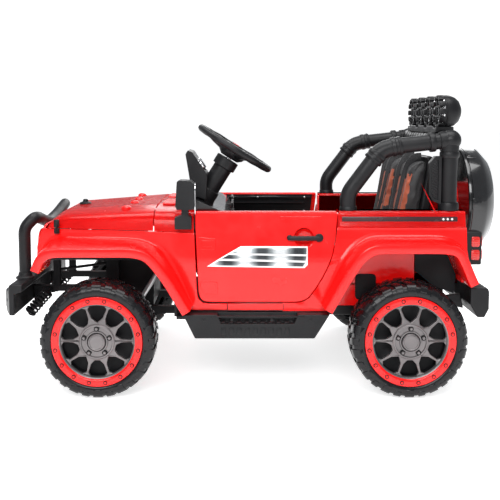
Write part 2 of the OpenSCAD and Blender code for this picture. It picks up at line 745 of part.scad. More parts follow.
rim(rear_x, 1);  // rim_rear_left
rim(rear_x, -1);  // rim_rear_right
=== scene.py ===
"""Child's two-seat battery ride-on 4x4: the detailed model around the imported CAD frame.

Helpers take millimetres in the row frame (+X forward, +Y driver's left, +Z up) and make meshes in metres.
"""
import math

import bmesh
import bpy
from mathutils import Matrix, Vector


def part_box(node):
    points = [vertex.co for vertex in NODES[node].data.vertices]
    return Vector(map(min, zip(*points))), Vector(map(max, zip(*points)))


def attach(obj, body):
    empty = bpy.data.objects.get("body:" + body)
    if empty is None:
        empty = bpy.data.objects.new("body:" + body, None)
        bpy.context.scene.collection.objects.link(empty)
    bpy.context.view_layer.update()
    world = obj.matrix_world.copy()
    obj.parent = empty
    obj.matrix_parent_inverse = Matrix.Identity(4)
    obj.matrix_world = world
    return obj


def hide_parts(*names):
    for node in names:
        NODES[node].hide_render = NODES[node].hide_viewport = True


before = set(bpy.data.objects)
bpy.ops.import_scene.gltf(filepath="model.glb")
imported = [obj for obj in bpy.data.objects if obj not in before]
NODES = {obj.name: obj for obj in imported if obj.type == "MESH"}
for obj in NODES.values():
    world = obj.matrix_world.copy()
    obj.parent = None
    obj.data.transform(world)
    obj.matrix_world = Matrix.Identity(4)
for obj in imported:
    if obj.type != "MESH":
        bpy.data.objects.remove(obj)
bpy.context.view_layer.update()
MM = 0.001


def box_mm(node):
    low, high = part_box(node)
    return [v * 1000 for v in low], [v * 1000 for v in high]


# ---------- sizes that follow the CAD, in millimetres ----------
TYRE_LOW, TYRE_HIGH = box_mm("tyre_front_left")
TYRE_R = (TYRE_HIGH[2] - TYRE_LOW[2]) / 2
WHEEL_Y = (TYRE_HIGH[1] + TYRE_LOW[1]) / 2
FRONT_X = (TYRE_HIGH[0] + TYRE_LOW[0]) / 2
REAR_X = (box_mm("tyre_rear_left")[0][0] + box_mm("tyre_rear_left")[1][0]) / 2
DOOR_HIGH = box_mm("door_left")[1]
HALF_W = DOOR_HIGH[1]
BELT = DOOR_HIGH[2]
FLARE_Y = box_mm("front_body")[1][1]
DOOR_FRONT = DOOR_HIGH[0]
TAPER = math.tan(math.radians(11.55))
WAIST = 340
LEAN = 20
COLUMN = Vector((73, 120, 614))
COLUMN_TILT = math.radians(32)
TAIL_X = -515


# ---------- materials ----------
class Nodes:
    """A node material under construction, with short calls for the common nodes."""

    def __init__(self, name, **inputs):
        self.mat = bpy.data.materials.new(name)
        self.mat.use_nodes = True
        self.tree = self.mat.node_tree
        self.bsdf = self.tree.nodes["Principled BSDF"]
        for key, value in inputs.items():
            self.bsdf.inputs[key.replace("_", " ")].default_value = value

    def new(self, kind, **values):
        made = self.tree.nodes.new(kind)
        for key, value in values.items():
            if key in made.inputs:
                made.inputs[key].default_value = value
            else:
                setattr(made, key, value)
        return made

    def link(self, a, b):
        self.tree.links.new(a, b)

    def coords(self, scale=(1, 1, 1)):
        place = self.new("ShaderNodeTexCoord")
        mapping = self.new("ShaderNodeMapping")
        mapping.inputs["Scale"].default_value = scale
        self.link(place.outputs["Object"], mapping.inputs["Vector"])
        return mapping.outputs["Vector"]

    def noise(self, scale, detail=4, rough=0.55, stretch=(1, 1, 1)):
        made = self.new("ShaderNodeTexNoise", Scale=scale, Detail=detail, Roughness=rough)
        self.link(self.coords(stretch), made.inputs["Vector"])
        return made.outputs["Fac"]

    def ramp(self, source, stops):
        made = self.new("ShaderNodeValToRGB")
        ramp = made.color_ramp
        while len(ramp.elements) < len(stops):
            ramp.elements.new(0.5)
        for element, (place, colour) in zip(ramp.elements, stops):
            element.position = place
            element.color = (*colour, 1) if len(colour) == 3 else colour
        self.link(source, made.inputs["Fac"])
        return made.outputs["Color"]

    def spread(self, source, low, high, start=0.3, end=0.7):
        made = self.new("ShaderNodeMapRange")
        for key, value in (("From Min", start), ("From Max", end), ("To Min", low), ("To Max", high)):
            made.inputs[key].default_value = value
        self.link(source, made.inputs["Value"])
        return made.outputs["Result"]

    def bump(self, source, distance, strength=1.0, under=None):
        made = self.new("ShaderNodeBump", Strength=strength, Distance=distance)
        self.link(source, made.inputs["Height"])
        if under is not None:
            self.link(under, made.inputs["Normal"])
        return made.outputs["Normal"]

    def colour(self, source):
        self.link(source, self.bsdf.inputs["Base Color"])

    def rough(self, source):
        self.link(source, self.bsdf.inputs["Roughness"])

    def normal(self, source):
        self.link(source, self.bsdf.inputs["Normal"])


def plastic(name, dark, light, rough, grain=0.0, grain_scale=1500, wave=0.0, **inputs):
    """Moulded plastic: mottled colour, uneven gloss, a moulded grain and slight flow waves."""
    n = Nodes(name, **inputs)
    n.colour(n.ramp(n.noise(9, 3), [(0.35, dark), (0.68, light)]))
    n.rough(n.spread(n.noise(26, 5), *rough))
    under = None
    if wave:
        under = n.bump(n.noise(14, 2), wave)
    if grain:
        under = n.bump(n.noise(grain_scale, 2, 0.7), grain, 1.0, under)
    if under is not None:
        n.normal(under)
    return n.mat


RED = plastic("red_gloss_plastic", (0.80, 0.004, 0.004), (0.90, 0.007, 0.006), (0.16, 0.28), grain=0.00002,
              grain_scale=420, wave=0.0006, Coat_Weight=0.25, Coat_Roughness=0.05, Specular_IOR_Level=0.35)
SATIN = plastic("satin_black_plastic", (0.005, 0.005, 0.006), (0.010, 0.010, 0.011), (0.34, 0.50), grain=0.00010,
                grain_scale=900, Specular_IOR_Level=0.28)
GLOSS = plastic("gloss_black_plastic", (0.005, 0.005, 0.006), (0.010, 0.010, 0.011), (0.10, 0.22), grain=0.00002,
                grain_scale=400, wave=0.0005, Coat_Weight=0.4, Coat_Roughness=0.05)
DARK = plastic("soot_black_plastic", (0.004, 0.004, 0.005), (0.008, 0.008, 0.009), (0.42, 0.60), grain=0.00015,
               grain_scale=700, Specular_IOR_Level=0.2)
TYRE = plastic("tyre_hard_plastic", (0.004, 0.004, 0.005), (0.008, 0.008, 0.009), (0.18, 0.34), grain=0.00012,
               grain_scale=520, wave=0.0005, Specular_IOR_Level=0.3)
GUNMETAL = plastic("gunmetal_paint", (0.150, 0.138, 0.140), (0.205, 0.190, 0.190), (0.30, 0.44), grain=0.00004,
                   grain_scale=2200, Metallic=0.65)
STEEL = plastic("zinc_plated_steel", (0.42, 0.42, 0.43), (0.58, 0.58, 0.58), (0.22, 0.42), grain=0.00003,
                grain_scale=1300, Metallic=1.0)
CHROME = plastic("chrome_trim", (0.82, 0.82, 0.84), (0.90, 0.90, 0.91), (0.05, 0.12), wave=0.0003, Metallic=1.0)
BATTERY = plastic("battery_case_plastic", (0.05, 0.055, 0.06), (0.08, 0.085, 0.09), (0.4, 0.55), grain=0.0001)
WHITE = plastic("white_print", (0.80, 0.80, 0.80), (0.88, 0.88, 0.88), (0.18, 0.28), Coat_Weight=0.3)
STRIPE = plastic("dark_print", (0.035, 0.012, 0.014), (0.055, 0.018, 0.02), (0.2, 0.3), Coat_Weight=0.3)
AMBER = plastic("amber_lens", (0.75, 0.20, 0.02), (0.9, 0.30, 0.04), (0.08, 0.15), Coat_Weight=0.6)


def leather(name, dark, light, rough):
    """Grained leatherette: cells, fine pores and uneven colour."""
    n = Nodes(name, Sheen_Weight=0.1)
    n.colour(n.ramp(n.noise(30, 6), [(0.3, dark), (0.72, light)]))
    n.rough(n.spread(n.noise(70, 4), *rough))
    cells = n.new("ShaderNodeTexVoronoi", Scale=620, feature="DISTANCE_TO_EDGE")
    n.link(n.coords(), cells.inputs["Vector"])
    grain = n.ramp(cells.outputs["Distance"], [(0.0, (0, 0, 0)), (0.22, (1, 1, 1))])
    n.normal(n.bump(n.noise(1400, 3), 0.00008, 1.0, n.bump(grain, 0.00018)))
    return n.mat


BLACK_LEATHER = leather("black_leatherette", (0.012, 0.012, 0.013), (0.028, 0.027, 0.028), (0.38, 0.55))
TAN_LEATHER = leather("rust_leatherette", (0.30, 0.055, 0.022), (0.46, 0.105, 0.045), (0.36, 0.52))


def webbing():
    n = Nodes("black_webbing", Sheen_Weight=0.25)
    ribs = n.new("ShaderNodeTexWave", Scale=260, Distortion=0.6, Detail=2, bands_direction="DIAGONAL")
    n.link(n.coords(), ribs.inputs["Vector"])
    n.colour(n.ramp(ribs.outputs["Fac"], [(0.2, (0.010, 0.010, 0.011)), (0.8, (0.045, 0.045, 0.048))]))
    n.rough(n.spread(n.noise(300, 3), 0.6, 0.85))
    n.normal(n.bump(ribs.outputs["Fac"], 0.0003))
    return n.mat


WEBBING = webbing()


def lens(name, colour, rough, prism, transmission):
    """A moulded lamp lens with rows of small prisms."""
    n = Nodes(name, Transmission_Weight=transmission, IOR=1.49, Coat_Weight=0.5)
    n.colour(n.ramp(n.noise(60, 2), [(0.3, tuple(c * 0.85 for c in colour)), (0.7, colour)]))
    n.rough(n.spread(n.noise(40, 2), rough, rough + 0.06))
    waves = [n.new("ShaderNodeTexWave", Scale=prism, Distortion=0.0, bands_direction=way) for way in "YZ"]
    for wave in waves:
        n.link(n.coords(), wave.inputs["Vector"])
    under = n.bump(waves[0].outputs["Fac"], 0.0005, 0.6)
    n.normal(n.bump(waves[1].outputs["Fac"], 0.0005, 0.6, under))
    return n.mat


RED_LENS = lens("red_lens", (0.75, 0.02, 0.015), 0.08, 60, 0.15)
CLEAR_LENS = lens("clear_lens", (0.95, 0.96, 0.97), 0.04, 50, 0.92)


def silver_print_painted_reflection():
    """A silver foil sticker with fine brush lines, whose colour runs from dark to bright and back in bands: a painted
    reflection.
    """
    n = Nodes("silver_print_painted_reflection", Metallic=0.75, Coat_Weight=0.3)
    bands = n.new("ShaderNodeTexWave", Scale=3.4, Distortion=1.6, Detail=2, bands_direction="X")
    n.link(n.coords(), bands.inputs["Vector"])
    # painted reflection: the foil's colour goes dark and bright in wavy bands
    n.colour(n.ramp(bands.outputs["Fac"], [(0.1, (0.05, 0.055, 0.06)), (0.55, (0.32, 0.35, 0.36)),
                                           (0.9, (0.80, 0.82, 0.83))]))
    n.rough(n.spread(n.noise(900, 2, 0.5, (1, 1, 12)), 0.22, 0.38))
    return n.mat


SILVER_PAINTED_REFLECTION = silver_print_painted_reflection()


# ---------- mesh helpers; each returns a bmesh in millimetres ----------
def shape():
    return bmesh.new()


def merge(target, source, matrix=None):
    """Adds source to target, moved by matrix, and frees it."""
    if matrix is not None:
        source.transform(matrix)
        if matrix.to_3x3().determinant() < 0:
            bmesh.ops.reverse_faces(source, faces=source.faces)
    mesh = bpy.data.meshes.new("scratch")
    source.to_mesh(mesh)
    source.free()
    target.from_mesh(mesh)
    bpy.data.meshes.remove(mesh)
    return target


def rbox(x0, x1, y0, y1, z0, z1, r=1.5, steps=2):
    """A box with rounded edges."""
    b = shape()
    bmesh.ops.create_cube(b, size=1)
    bmesh.ops.transform(b, verts=b.verts, matrix=Matrix.Translation(((x0 + x1) / 2, (y0 + y1) / 2, (z0 + z1) / 2))
                        @ Matrix.Diagonal((x1 - x0, y1 - y0, z1 - z0, 1)))
    r = min(r, 0.45 * min(x1 - x0, y1 - y0, z1 - z0))
    bmesh.ops.bevel(b, geom=list(b.edges), offset=r, segments=steps, profile=0.5, affect="EDGES")
    return b


def plate(outline, low, high, r=1.5, steps=2, both_faces=True):
    """A plate in X and Y from z low to high, its rim edges rounded."""
    b = shape()
    area = sum(a[0] * c[1] - c[0] * a[1] for a, c in zip(outline, outline[1:] + outline[:1]))
    points = outline if area > 0 else outline[::-1]
    bottom = b.faces.new([b.verts.new((x, y, low)) for x, y in points])
    bottom.normal_flip()
    top = b.faces.new([b.verts.new((x, y, high)) for x, y in points])
    highs = top.verts[:]
    base = {round(v.co.x, 4) * 100000 + round(v.co.y, 4): v for v in bottom.verts}
    ring = [base[round(v.co.x, 4) * 100000 + round(v.co.y, 4)] for v in highs]
    for i in range(len(ring)):
        j = (i + 1) % len(ring)
        b.faces.new((ring[i], ring[j], highs[j], highs[i]))
    if r:
        rims = list(top.edges) + (list(bottom.edges) if both_faces else [])
        bmesh.ops.bevel(b, geom=rims, offset=r, segments=steps, profile=0.5, affect="EDGES", clamp_overlap=True)
    return b


def frames(points, closed=False, up=None):
    """A moving frame (point, right, up) along a path, without twist."""
    count = len(points)
    out = []
    for i, p in enumerate(points):
        if closed:
            d = points[(i + 1) % count] - points[i - 1]
        else:
            d = points[min(i + 1, count - 1)] - points[max(i - 1, 0)]
        d.normalize()
        if up is None:
            up = Vector((0, 0, 1)) if abs(d.z) < 0.9 else Vector((0, 1, 0))
        right = d.cross(up).normalized()
        up = right.cross(d).normalized()
        out.append((p, right, up))
    return out


def sweep(points, section, closed=False, up=None, caps=True, scale=None):
    """A section of (right, up) pairs carried along a path. scale gives a factor for each point."""
    points = [Vector(p) for p in points]
    b = shape()
    rings = []
    for i, (p, right, u) in enumerate(frames(points, closed, up)):
        k = 1 if scale is None else scale[i]
        rings.append([b.verts.new(p + right * s * k + u * t * k) for s, t in section])
    n = len(section)
    pairs = list(zip(rings, rings[1:])) + ([(rings[-1], rings[0])] if closed else [])
    for a, c in pairs:
        for j in range(n):
            b.faces.new((a[j], a[(j + 1) % n], c[(j + 1) % n], c[j]))
    if caps and not closed:
        b.faces.new(rings[0][::-1])
        b.faces.new(rings[-1])
    bmesh.ops.recalc_face_normals(b, faces=b.faces)
    return b


def circle(r, n=20, squash=1.0):
    return [(r * math.cos(2 * math.pi * i / n), squash * r * math.sin(2 * math.pi * i / n)) for i in range(n)]


def tube(points, r, n=20, closed=False, scale=None):
    return sweep(points, circle(r, n), closed, scale=scale)


def lathe(profile, n=48, closed=False):
    """A profile of (radius, height) turned about z. closed joins the last point to the first."""
    b = shape()
    rings = []
    for r, h in profile:
        if r < 1e-6:
            rings.append([b.verts.new((0, 0, h))])
        else:
            rings.append([b.verts.new((r * math.cos(2 * math.pi * i / n), r * math.sin(2 * math.pi * i / n), h))
                          for i in range(n)])
    pairs = list(zip(rings, rings[1:])) + ([(rings[-1], rings[0])] if closed else [])
    for a, c in pairs:
        for i in range(n):
            j = (i + 1) % n
            ring = [a[i % len(a)], a[j % len(a)], c[j % len(c)], c[i % len(c)]]
            ring = [v for k, v in enumerate(ring) if v not in ring[:k]]
            if len(ring) > 2:
                b.faces.new(ring)
    bmesh.ops.recalc_face_normals(b, faces=b.faces)
    return b


def grid(rows, closed_rows=False):
    """A surface through rows of points."""
    b = shape()
    made = [[b.verts.new(p) for p in row] for row in rows]
    for a, c in zip(made, made[1:]):
        for j in range(len(a) if closed_rows else len(a) - 1):
            k = (j + 1) % len(a)
            b.faces.new((a[j], a[k], c[k], c[j]))
    return b


def shell(rows, thick, closed_rows=False):
    """A surface through rows of points, thick towards the side its normals turn away from."""
    b = grid(rows, closed_rows)
    bmesh.ops.solidify(b, geom=list(b.faces), thickness=thick)
    bmesh.ops.recalc_face_normals(b, faces=b.faces)
    return b


def holed(outer, holes, low, high, r=1.0):
    """A plate in X and Y with holes in it, its edges rounded, by way of a filled curve."""
    curve = bpy.data.curves.new("scratch", "CURVE")
    curve.dimensions = "2D"
    curve.fill_mode = "BOTH"
    curve.extrude = (high - low) / 2 - r
    curve.bevel_depth = r
    curve.bevel_resolution = 2
    curve.offset = -r
    for ring in [outer, *holes]:
        spline = curve.splines.new("POLY")
        spline.points.add(len(ring) - 1)
        for point, (x, y) in zip(spline.points, ring):
            point.co = (x, y, 0, 1)
        spline.use_cyclic_u = True
    obj = bpy.data.objects.new("scratch", curve)
    mesh = bpy.data.meshes.new_from_object(obj)
    b = shape()
    b.from_mesh(mesh)
    bmesh.ops.remove_doubles(b, verts=b.verts, dist=0.001)
    bmesh.ops.translate(b, verts=b.verts, vec=(0, 0, (low + high) / 2))
    bpy.data.meshes.remove(mesh)
    bpy.data.objects.remove(obj)
    bpy.data.curves.remove(curve)
    return b


def screw(head=3.2, tall=1.6):
    """A small cross-head screw on the XY plane, pointing up."""
    b = lathe([(0, tall), (head * 0.55, tall), (head * 0.9, tall * 0.6), (head, 0), (head, -1)], 14)
    for a in (0, math.pi / 2):
        merge(b, rbox(-head * 0.6, head * 0.6, -0.45, 0.45, tall - 0.2, tall + 0.25, 0.1, 1),
              Matrix.Rotation(a, 4, "Z"))
    return b


def facing(direction, place=(0, 0, 0), roll=0):
    """A matrix that turns +z to direction and moves to place."""
    return (Matrix.Translation(Vector(place)) @ Vector(direction).to_track_quat("Z", "Y").to_matrix().to_4x4()
            @ Matrix.Rotation(roll, 4, "Z"))


OUT = {1: Matrix(((1, 0, 0, 0), (0, 0, 1, 0), (0, 1, 0, 0), (0, 0, 0, 1)))}  # x, y, z of a plate to X, Z, Y


def upright(b, y0=0):
    """A plate drawn in X and Z, its thickness along +Y from y0."""
    bmesh.ops.transform(b, verts=b.verts, matrix=Matrix.Translation((0, y0, 0)) @ OUT[1])
    bmesh.ops.reverse_faces(b, faces=b.faces)
    return b


def rounded(points, c, k=4, closed=False):
    """A path with each corner eased over a length c on both sides. Points may be 2D or 3D tuples."""
    points = [Vector(p) for p in points]
    count = len(points)
    out = []
    for i, p in enumerate(points):
        if not closed and i in (0, count - 1):
            out.append(p)
            continue
        before, after = points[i - 1] - p, points[(i + 1) % count] - p
        a = p + before.normalized() * min(c, before.length * 0.45)
        d = p + after.normalized() * min(c, after.length * 0.45)
        for j in range(k + 1):
            t = j / k
            out.append(a * (1 - t) ** 2 + p * 2 * t * (1 - t) + d * t * t)
    return out


def pairs(points):
    return [(p[0], p[1]) for p in points]


def soft_outline(points, c, k=4):
    return pairs(rounded(points, c, k, True))


MADE = {}


def piece(name, b, mat, body="chassis", slot="black_plastic", stands_for=(), angle=32, mirror=False):
    """Turns a bmesh in millimetres into a finished piece on its body. mirror adds the same on the other side."""
    if mirror:
        other = b.copy()
        bmesh.ops.scale(other, verts=other.verts, vec=(1, -1, 1))
        bmesh.ops.reverse_faces(other, faces=other.faces)
        other_name = name.replace("left", "right") if "left" in name else name + "_right"
        other_body = body.replace("left", "right")
        piece(other_name, other, mat, other_body, slot, [s.replace("left", "right") for s in stands_for], angle)
        if "left" not in name:
            name += "_left"
    mesh = bpy.data.meshes.new(name)
    bmesh.ops.scale(b, verts=b.verts, vec=(MM, MM, MM))
    b.to_mesh(mesh)
    b.free()
    mesh.materials.append(mat)
    mesh.polygons.foreach_set("use_smooth", [True] * len(mesh.polygons))
    mesh.set_sharp_from_angle(angle=math.radians(angle))
    obj = bpy.data.objects.new(name, mesh)
    bpy.context.collection.objects.link(obj)
    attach(obj, body)
    if stands_for:
        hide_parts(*stands_for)
    MADE[name] = obj
    return obj


def soften(node, mat, body="chassis", slot="black_plastic", width=1.6, angle=32, steps=2, name=None):
    """A copy of a CAD node with its edges rounded, standing for that node."""
    b = shape()
    b.from_mesh(NODES[node].data)
    bmesh.ops.scale(b, verts=b.verts, vec=(1000, 1000, 1000))
    bmesh.ops.remove_doubles(b, verts=b.verts, dist=0.01)
    bmesh.ops.dissolve_limit(b, angle_limit=math.radians(1.5), verts=b.verts, edges=b.edges)
    bmesh.ops.recalc_face_normals(b, faces=b.faces)
    obj = piece(name or node + "_shell", b, mat, body, slot, [node], angle)
    bevel = obj.modifiers.new("edges", "BEVEL")
    bevel.width = width * MM
    bevel.segments = steps
    bevel.limit_method = "ANGLE"
    bevel.angle_limit = math.radians(angle)
    bevel.harden_normals = False
    weighted = obj.modifiers.new("normals", "WEIGHTED_NORMAL")
    weighted.keep_sharp = True
    return obj


def paint(node, mat):
    """Gives a CAD node that stays a better material."""
    data = NODES[node].data
    for i in range(max(1, len(data.materials))):
        if i < len(data.materials):
            data.materials[i] = mat
        else:
            data.materials.append(mat)


# ---------- red body: surfaces ----------
DOOR = [(175, 459), (172, 400), (169, 340), (165, 252), (161, 238), (152, 230), (140, 228), (-83, 228), (-101, 231),
        (-116, 240), (-133, 263), (-150, 291), (-165, 322), (-175, 350), (-183, 390), (-189, 459)]
FRONT_ARCH = [(203, 206), (252, 288), (282, 328), (300, 345), (330, 352), (525, 352), (545, 343), (557, 312)]
REAR_ARCH = [(-170, 211), (-225, 307), (-249, 342), (-275, 360), (-300, 361), (-447, 361), (-474, 356),
             (-485, 338), (-504, 293), (-512, 277)]


def table(stops, at):
    """Straight-line interpolation in a list of (place, value)."""
    for (a, va), (b, vb) in zip(stops, stops[1:]):
        if at <= b:
            return va + (vb - va) * max(0.0, (at - a) / (b - a))
    return stops[-1][1]


def lean(x, z):
    """How far the side has leaned in at this height."""
    soft, slope = 16, LEAN / (BELT - WAIST)
    over = z - (WAIST - soft)
    rear = 0 if over <= 0 else slope * over * over / (4 * soft) if over < 2 * soft else slope * (z - WAIST)
    front = table([(0, 0), (WAIST - soft, 0), (WAIST, 0.4), (406, 5), (437, 13), (BELT, LEAN)], z)
    k = min(1, max(0, (x - DOOR_FRONT) / 60))
    return rear * (1 - k) + front * k


def side_y(x, z):
    return HALF_W - max(0, x - DOOR_FRONT) * TAPER - lean(x, z)


BEND_Z = [318, 324, 332, 340, 348, 356, 372, 390, 408, 424, 440]
BEND_X = [175, 195, 215, 235]


def panel(outline, holes=(), t=8, r=2.0, outward=0.0, zs=(), xs=()):
    """A body panel drawn in X and Z that follows the body's side, t thick, outward of it by a little."""
    b = holed(outline, holes, -t, 0, r)
    for places, normal in (([*BEND_Z, *zs], (0, 1, 0)), ([*BEND_X, *xs], (1, 0, 0))):
        for place in places:
            bmesh.ops.bisect_plane(b, geom=[*b.verts, *b.edges, *b.faces], dist=0.0001,
                                   plane_co=[place * n for n in normal], plane_no=normal)
    bmesh.ops.triangulate(b, faces=[f for f in b.faces if len(f.verts) > 4])
    for v in b.verts:
        x, z, depth = v.co
        v.co = (x, side_y(x, z) + depth + outward, z)
    bmesh.ops.reverse_faces(b, faces=b.faces)
    return b


def weigh(*objs):
    """Large faces set the shading, so that narrow rounded edges don't smear across a panel."""
    for obj in objs:
        weighted = obj.modifiers.new("normals", "WEIGHTED_NORMAL")
        weighted.keep_sharp = True
        weighted.weight = 80


def offset_path(path, distance):
    """A path in X and Z moved along its own outward normals, away from the wheel."""
    out = []
    for i, p in enumerate(path):
        d = (path[min(i + 1, len(path) - 1)] - path[max(i - 1, 0)]).normalized()
        normal = Vector((-d.y, d.x))
        if normal.y < 0 or (abs(normal.y) < 0.05 and normal.x * (p.x - path[len(path) // 2].x) < 0):
            normal = -normal
        out.append((p, normal))
    return [p + n * distance for p, n in out] if distance is not None else out


def flare(name, arch, fade):
    """A wheel arch flare: lip, flat face and a shoulder that flows up into the body's side."""
    path = rounded([Vector(p) for p in arch], 22, 5)
    rows = []
    for p, n in offset_path(path, None):
        k = fade(p)
        far = p + n * (24 + 22 * k)
        body = side_y(far.x, max(far.y, 200))
        reach = 345 - body
        section = [(9, 236), (0.6, 236), (0, 238), (0, 300), (0, FLARE_Y - 2.2), (0.7, FLARE_Y - 0.7), (2.2, FLARE_Y),
                   (11, FLARE_Y), (19, FLARE_Y), (21.4, FLARE_Y - 0.8), (22.6, FLARE_Y - 2.8)]
        rise = 11 * k
        for t in (0.12, 0.3, 0.5, 0.7, 0.84):
            section.append((22.8 + rise * t + 1.6 * math.sin(math.pi * t) * k, FLARE_Y - 3 - (reach - 3) * t))
        section += [(22.8 + rise + 1.5 * k, body + 5), (22.8 + rise + 5 * k, body + 2),
                    (22.8 + rise + 10 * k, body + 0.5),
                    (22.8 + rise + 13 * k + 0.5, body - 2.5), (20, body - 10), (12, 262)]
        rows.append([(p.x + n.x * s, y, p.y + n.y * s) for s, y in section])
    b = grid(rows, True)
    made = [v for v in b.verts]
    count = len(rows[0])
    b.verts.ensure_lookup_table()
    b.faces.new(made[:count][::-1])
    b.faces.new(made[-count:])
    bmesh.ops.recalc_face_normals(b, faces=b.faces)
    return piece(name, b, RED, slot="red_plastic", mirror=True, angle=38)


def front_fade(p):
    if p.x < 400:
        return table([(206, 0.25), (290, 0.8), (315, 1)], p.y)
    return table([(312, 0.3), (352, 1)], p.y)


def rear_fade(p):
    if p.x > -360:
        return table([(206, 0.25), (290, 0.8), (315, 1)], p.y)
    return table([(277, 0.0), (330, 0.5), (360, 1)], p.y)


flare("flare_front_left", FRONT_ARCH, front_fade)
flare("flare_rear_left", REAR_ARCH, rear_fade)

# Front wing with its strip of sill
front_edge = pairs(offset_path(rounded([Vector(p) for p in FRONT_ARCH], 22, 3), 12))
wing = [(580, 405), (585, 394), (592, 372), (596, 346), (597, 322), *reversed(front_edge[2:]), (188, 209),
        (186, 207), (92, 207), (92, 224), (140, 224), (154, 226), (165, 236), (169, 252), (173, 340), (176, 400),
        (176.5, 405.5)]
weigh(piece("wing_left", panel(wing, xs=(281, 400, 500)), RED, slot="red_plastic", mirror=True),
      MADE["wing_right"])

# Rear quarter below the crease
rear_edge = pairs(offset_path(rounded([Vector(p) for p in REAR_ARCH], 22, 3), 12))
quarter = [(-51.6, 224), (-51.6, 207), (-158, 207), *rear_edge[2:-1], (-514, 300), (-515, 320), (-515, 416),
           (-191, 416),
           (-187, 389), (-179, 349), (-168.6, 320.4), (-153.4, 289), (-136.4, 261), (-119, 237.6), (-102.6, 227.4),
           (-83, 224)]
weigh(piece("quarter_left", panel(quarter), RED, slot="red_plastic", mirror=True), MADE["quarter_right"])
weigh(piece("sill_left", panel([(-50.4, 207), (91, 207), (91, 223.6), (-50.4, 223.6)], t=20, r=1.2), RED,
            slot="red_plastic", mirror=True, stands_for=["sills"]), MADE["sill_right"])


def rail_rows(x0, x1, steps=6):
    """The upper rail of the quarter: outer face from the crease up, rounded over the top and down inside."""
    rows = []
    for i in range(steps + 1):
        x = x0 + (x1 - x0) * i / steps
        row = [(x, side_y(x, 405) - 4, 405), (x, side_y(x, 415) - 1.5, 415), (x, side_y(x, 417) + 0.6, 417),
               (x, side_y(x, 419) + 1.6, 419.2), (x, side_y(x, 422) + 1.6, 422), (x, side_y(x, 426) + 0.9, 426),
               (x, side_y(x, 436), 436), (x, side_y(x, 446), 446), (x, side_y(x, 450), 450)]
        corner = side_y(x, 452)
        row += [(x, corner - 0.6, 453.4), (x, corner - 2.2, 456.4), (x, corner - 4.8, 458.3), (x, corner - 8, 459),
                (x, 240, 459), (x, 223, 459), (x, 218.5, 458), (x, 216, 455.5), (x, 215, 452), (x, 215, 380),
                (x, 215, 262)]
        rows.append(row)
    return rows


b = shell(rail_rows(-514.5, -193.2), -5)
weigh(piece("quarter_rail_left", b, RED, slot="red_plastic", mirror=True, angle=40), MADE["quarter_rail_right"])

# Door jambs either side of the opening, and the inner wall of the rear arch
b = rbox(-196, -190, 216, side_y(0, 300) - 4, 262, 340, 2)
merge(b, rbox(-196, -190, 216, 262, 338, 452, 2))
piece("jamb_rear_left", b, RED, slot="red_plastic", mirror=True)
b = plate([(246, 214), (281, 214), (284, 300), (284, 338), (268, 404), (264, 452), (246, 452)], 178, 186, 1)
jamb = Matrix(((0, 0, 1, 0), (1, 0, 0, 0), (0, 1, 0, 0), (0, 0, 0, 1)))
b = merge(shape(), b, jamb)
piece("jamb_front_left", b, RED, slot="red_plastic", mirror=True)
b = rbox(-395, -178, 230, 238, 207, 366, 2)
merge(b, rbox(-395, -178, 215, 238, 260, 268, 2))
merge(b, rbox(-502, -395, 215, 224, 290, 452, 2))
weigh(piece("arch_wall_left", b, RED, slot="red_plastic", mirror=True), MADE["arch_wall_right"])
# painted shade: a dark plate on the arch wall stands where a cutout would show shadow
b = upright(plate(soft_outline([(-295, 223), (-241, 223), (-241, 291), (-295, 291)], 12), 0, 3, 1), 237)
piece("arch_cutout_left", b, DARK, mirror=True)
b = rbox(TAIL_X + 10, TAIL_X + 20, -218, 218, 292, 300, 2)
merge(b, rbox(TAIL_X + 8, -478, -215, 215, 291, 299, 2))
piece("rear_shelf", b, RED, slot="red_plastic", stands_for=["rear_body"])

# Tail panel
tail_outline = [(-286, 300), (-286, WAIST), (-266, 457), (-262, 459), (262, 459), (266, 457), (286, WAIST), (286, 300),
                (278, 276), (-278, 276)]
b = plate(tail_outline, 0, 10, 3, 3)
merge(b, plate(soft_outline([(-206, 296), (206, 296), (206, 300), (-206, 300)], 2), 9, 11.5, 0.8))
for y in (-188, 188):
    merge(b, plate(soft_outline([(y - 3, 300), (y + 3, 300), (y + 3, 440), (y - 3, 440)], 2), 9, 11.5, 0.8))
turn = Matrix(((0, 0, -1, TAIL_X + 10), (1, 0, 0, 0), (0, 1, 0, 0), (0, 0, 0, 1)))
tail = shape()
merge(tail, b, turn)
merge(tail, lathe([(62, 0), (60, 3), (52, 6), (50, 9), (50, 44.5), (0, 44.5)], 56),
      facing((-1, 0, 0), (TAIL_X, 0, 464)))
bmesh.ops.recalc_face_normals(tail, faces=tail.faces)
weigh(piece("tail_panel", tail, RED, slot="red_plastic"))

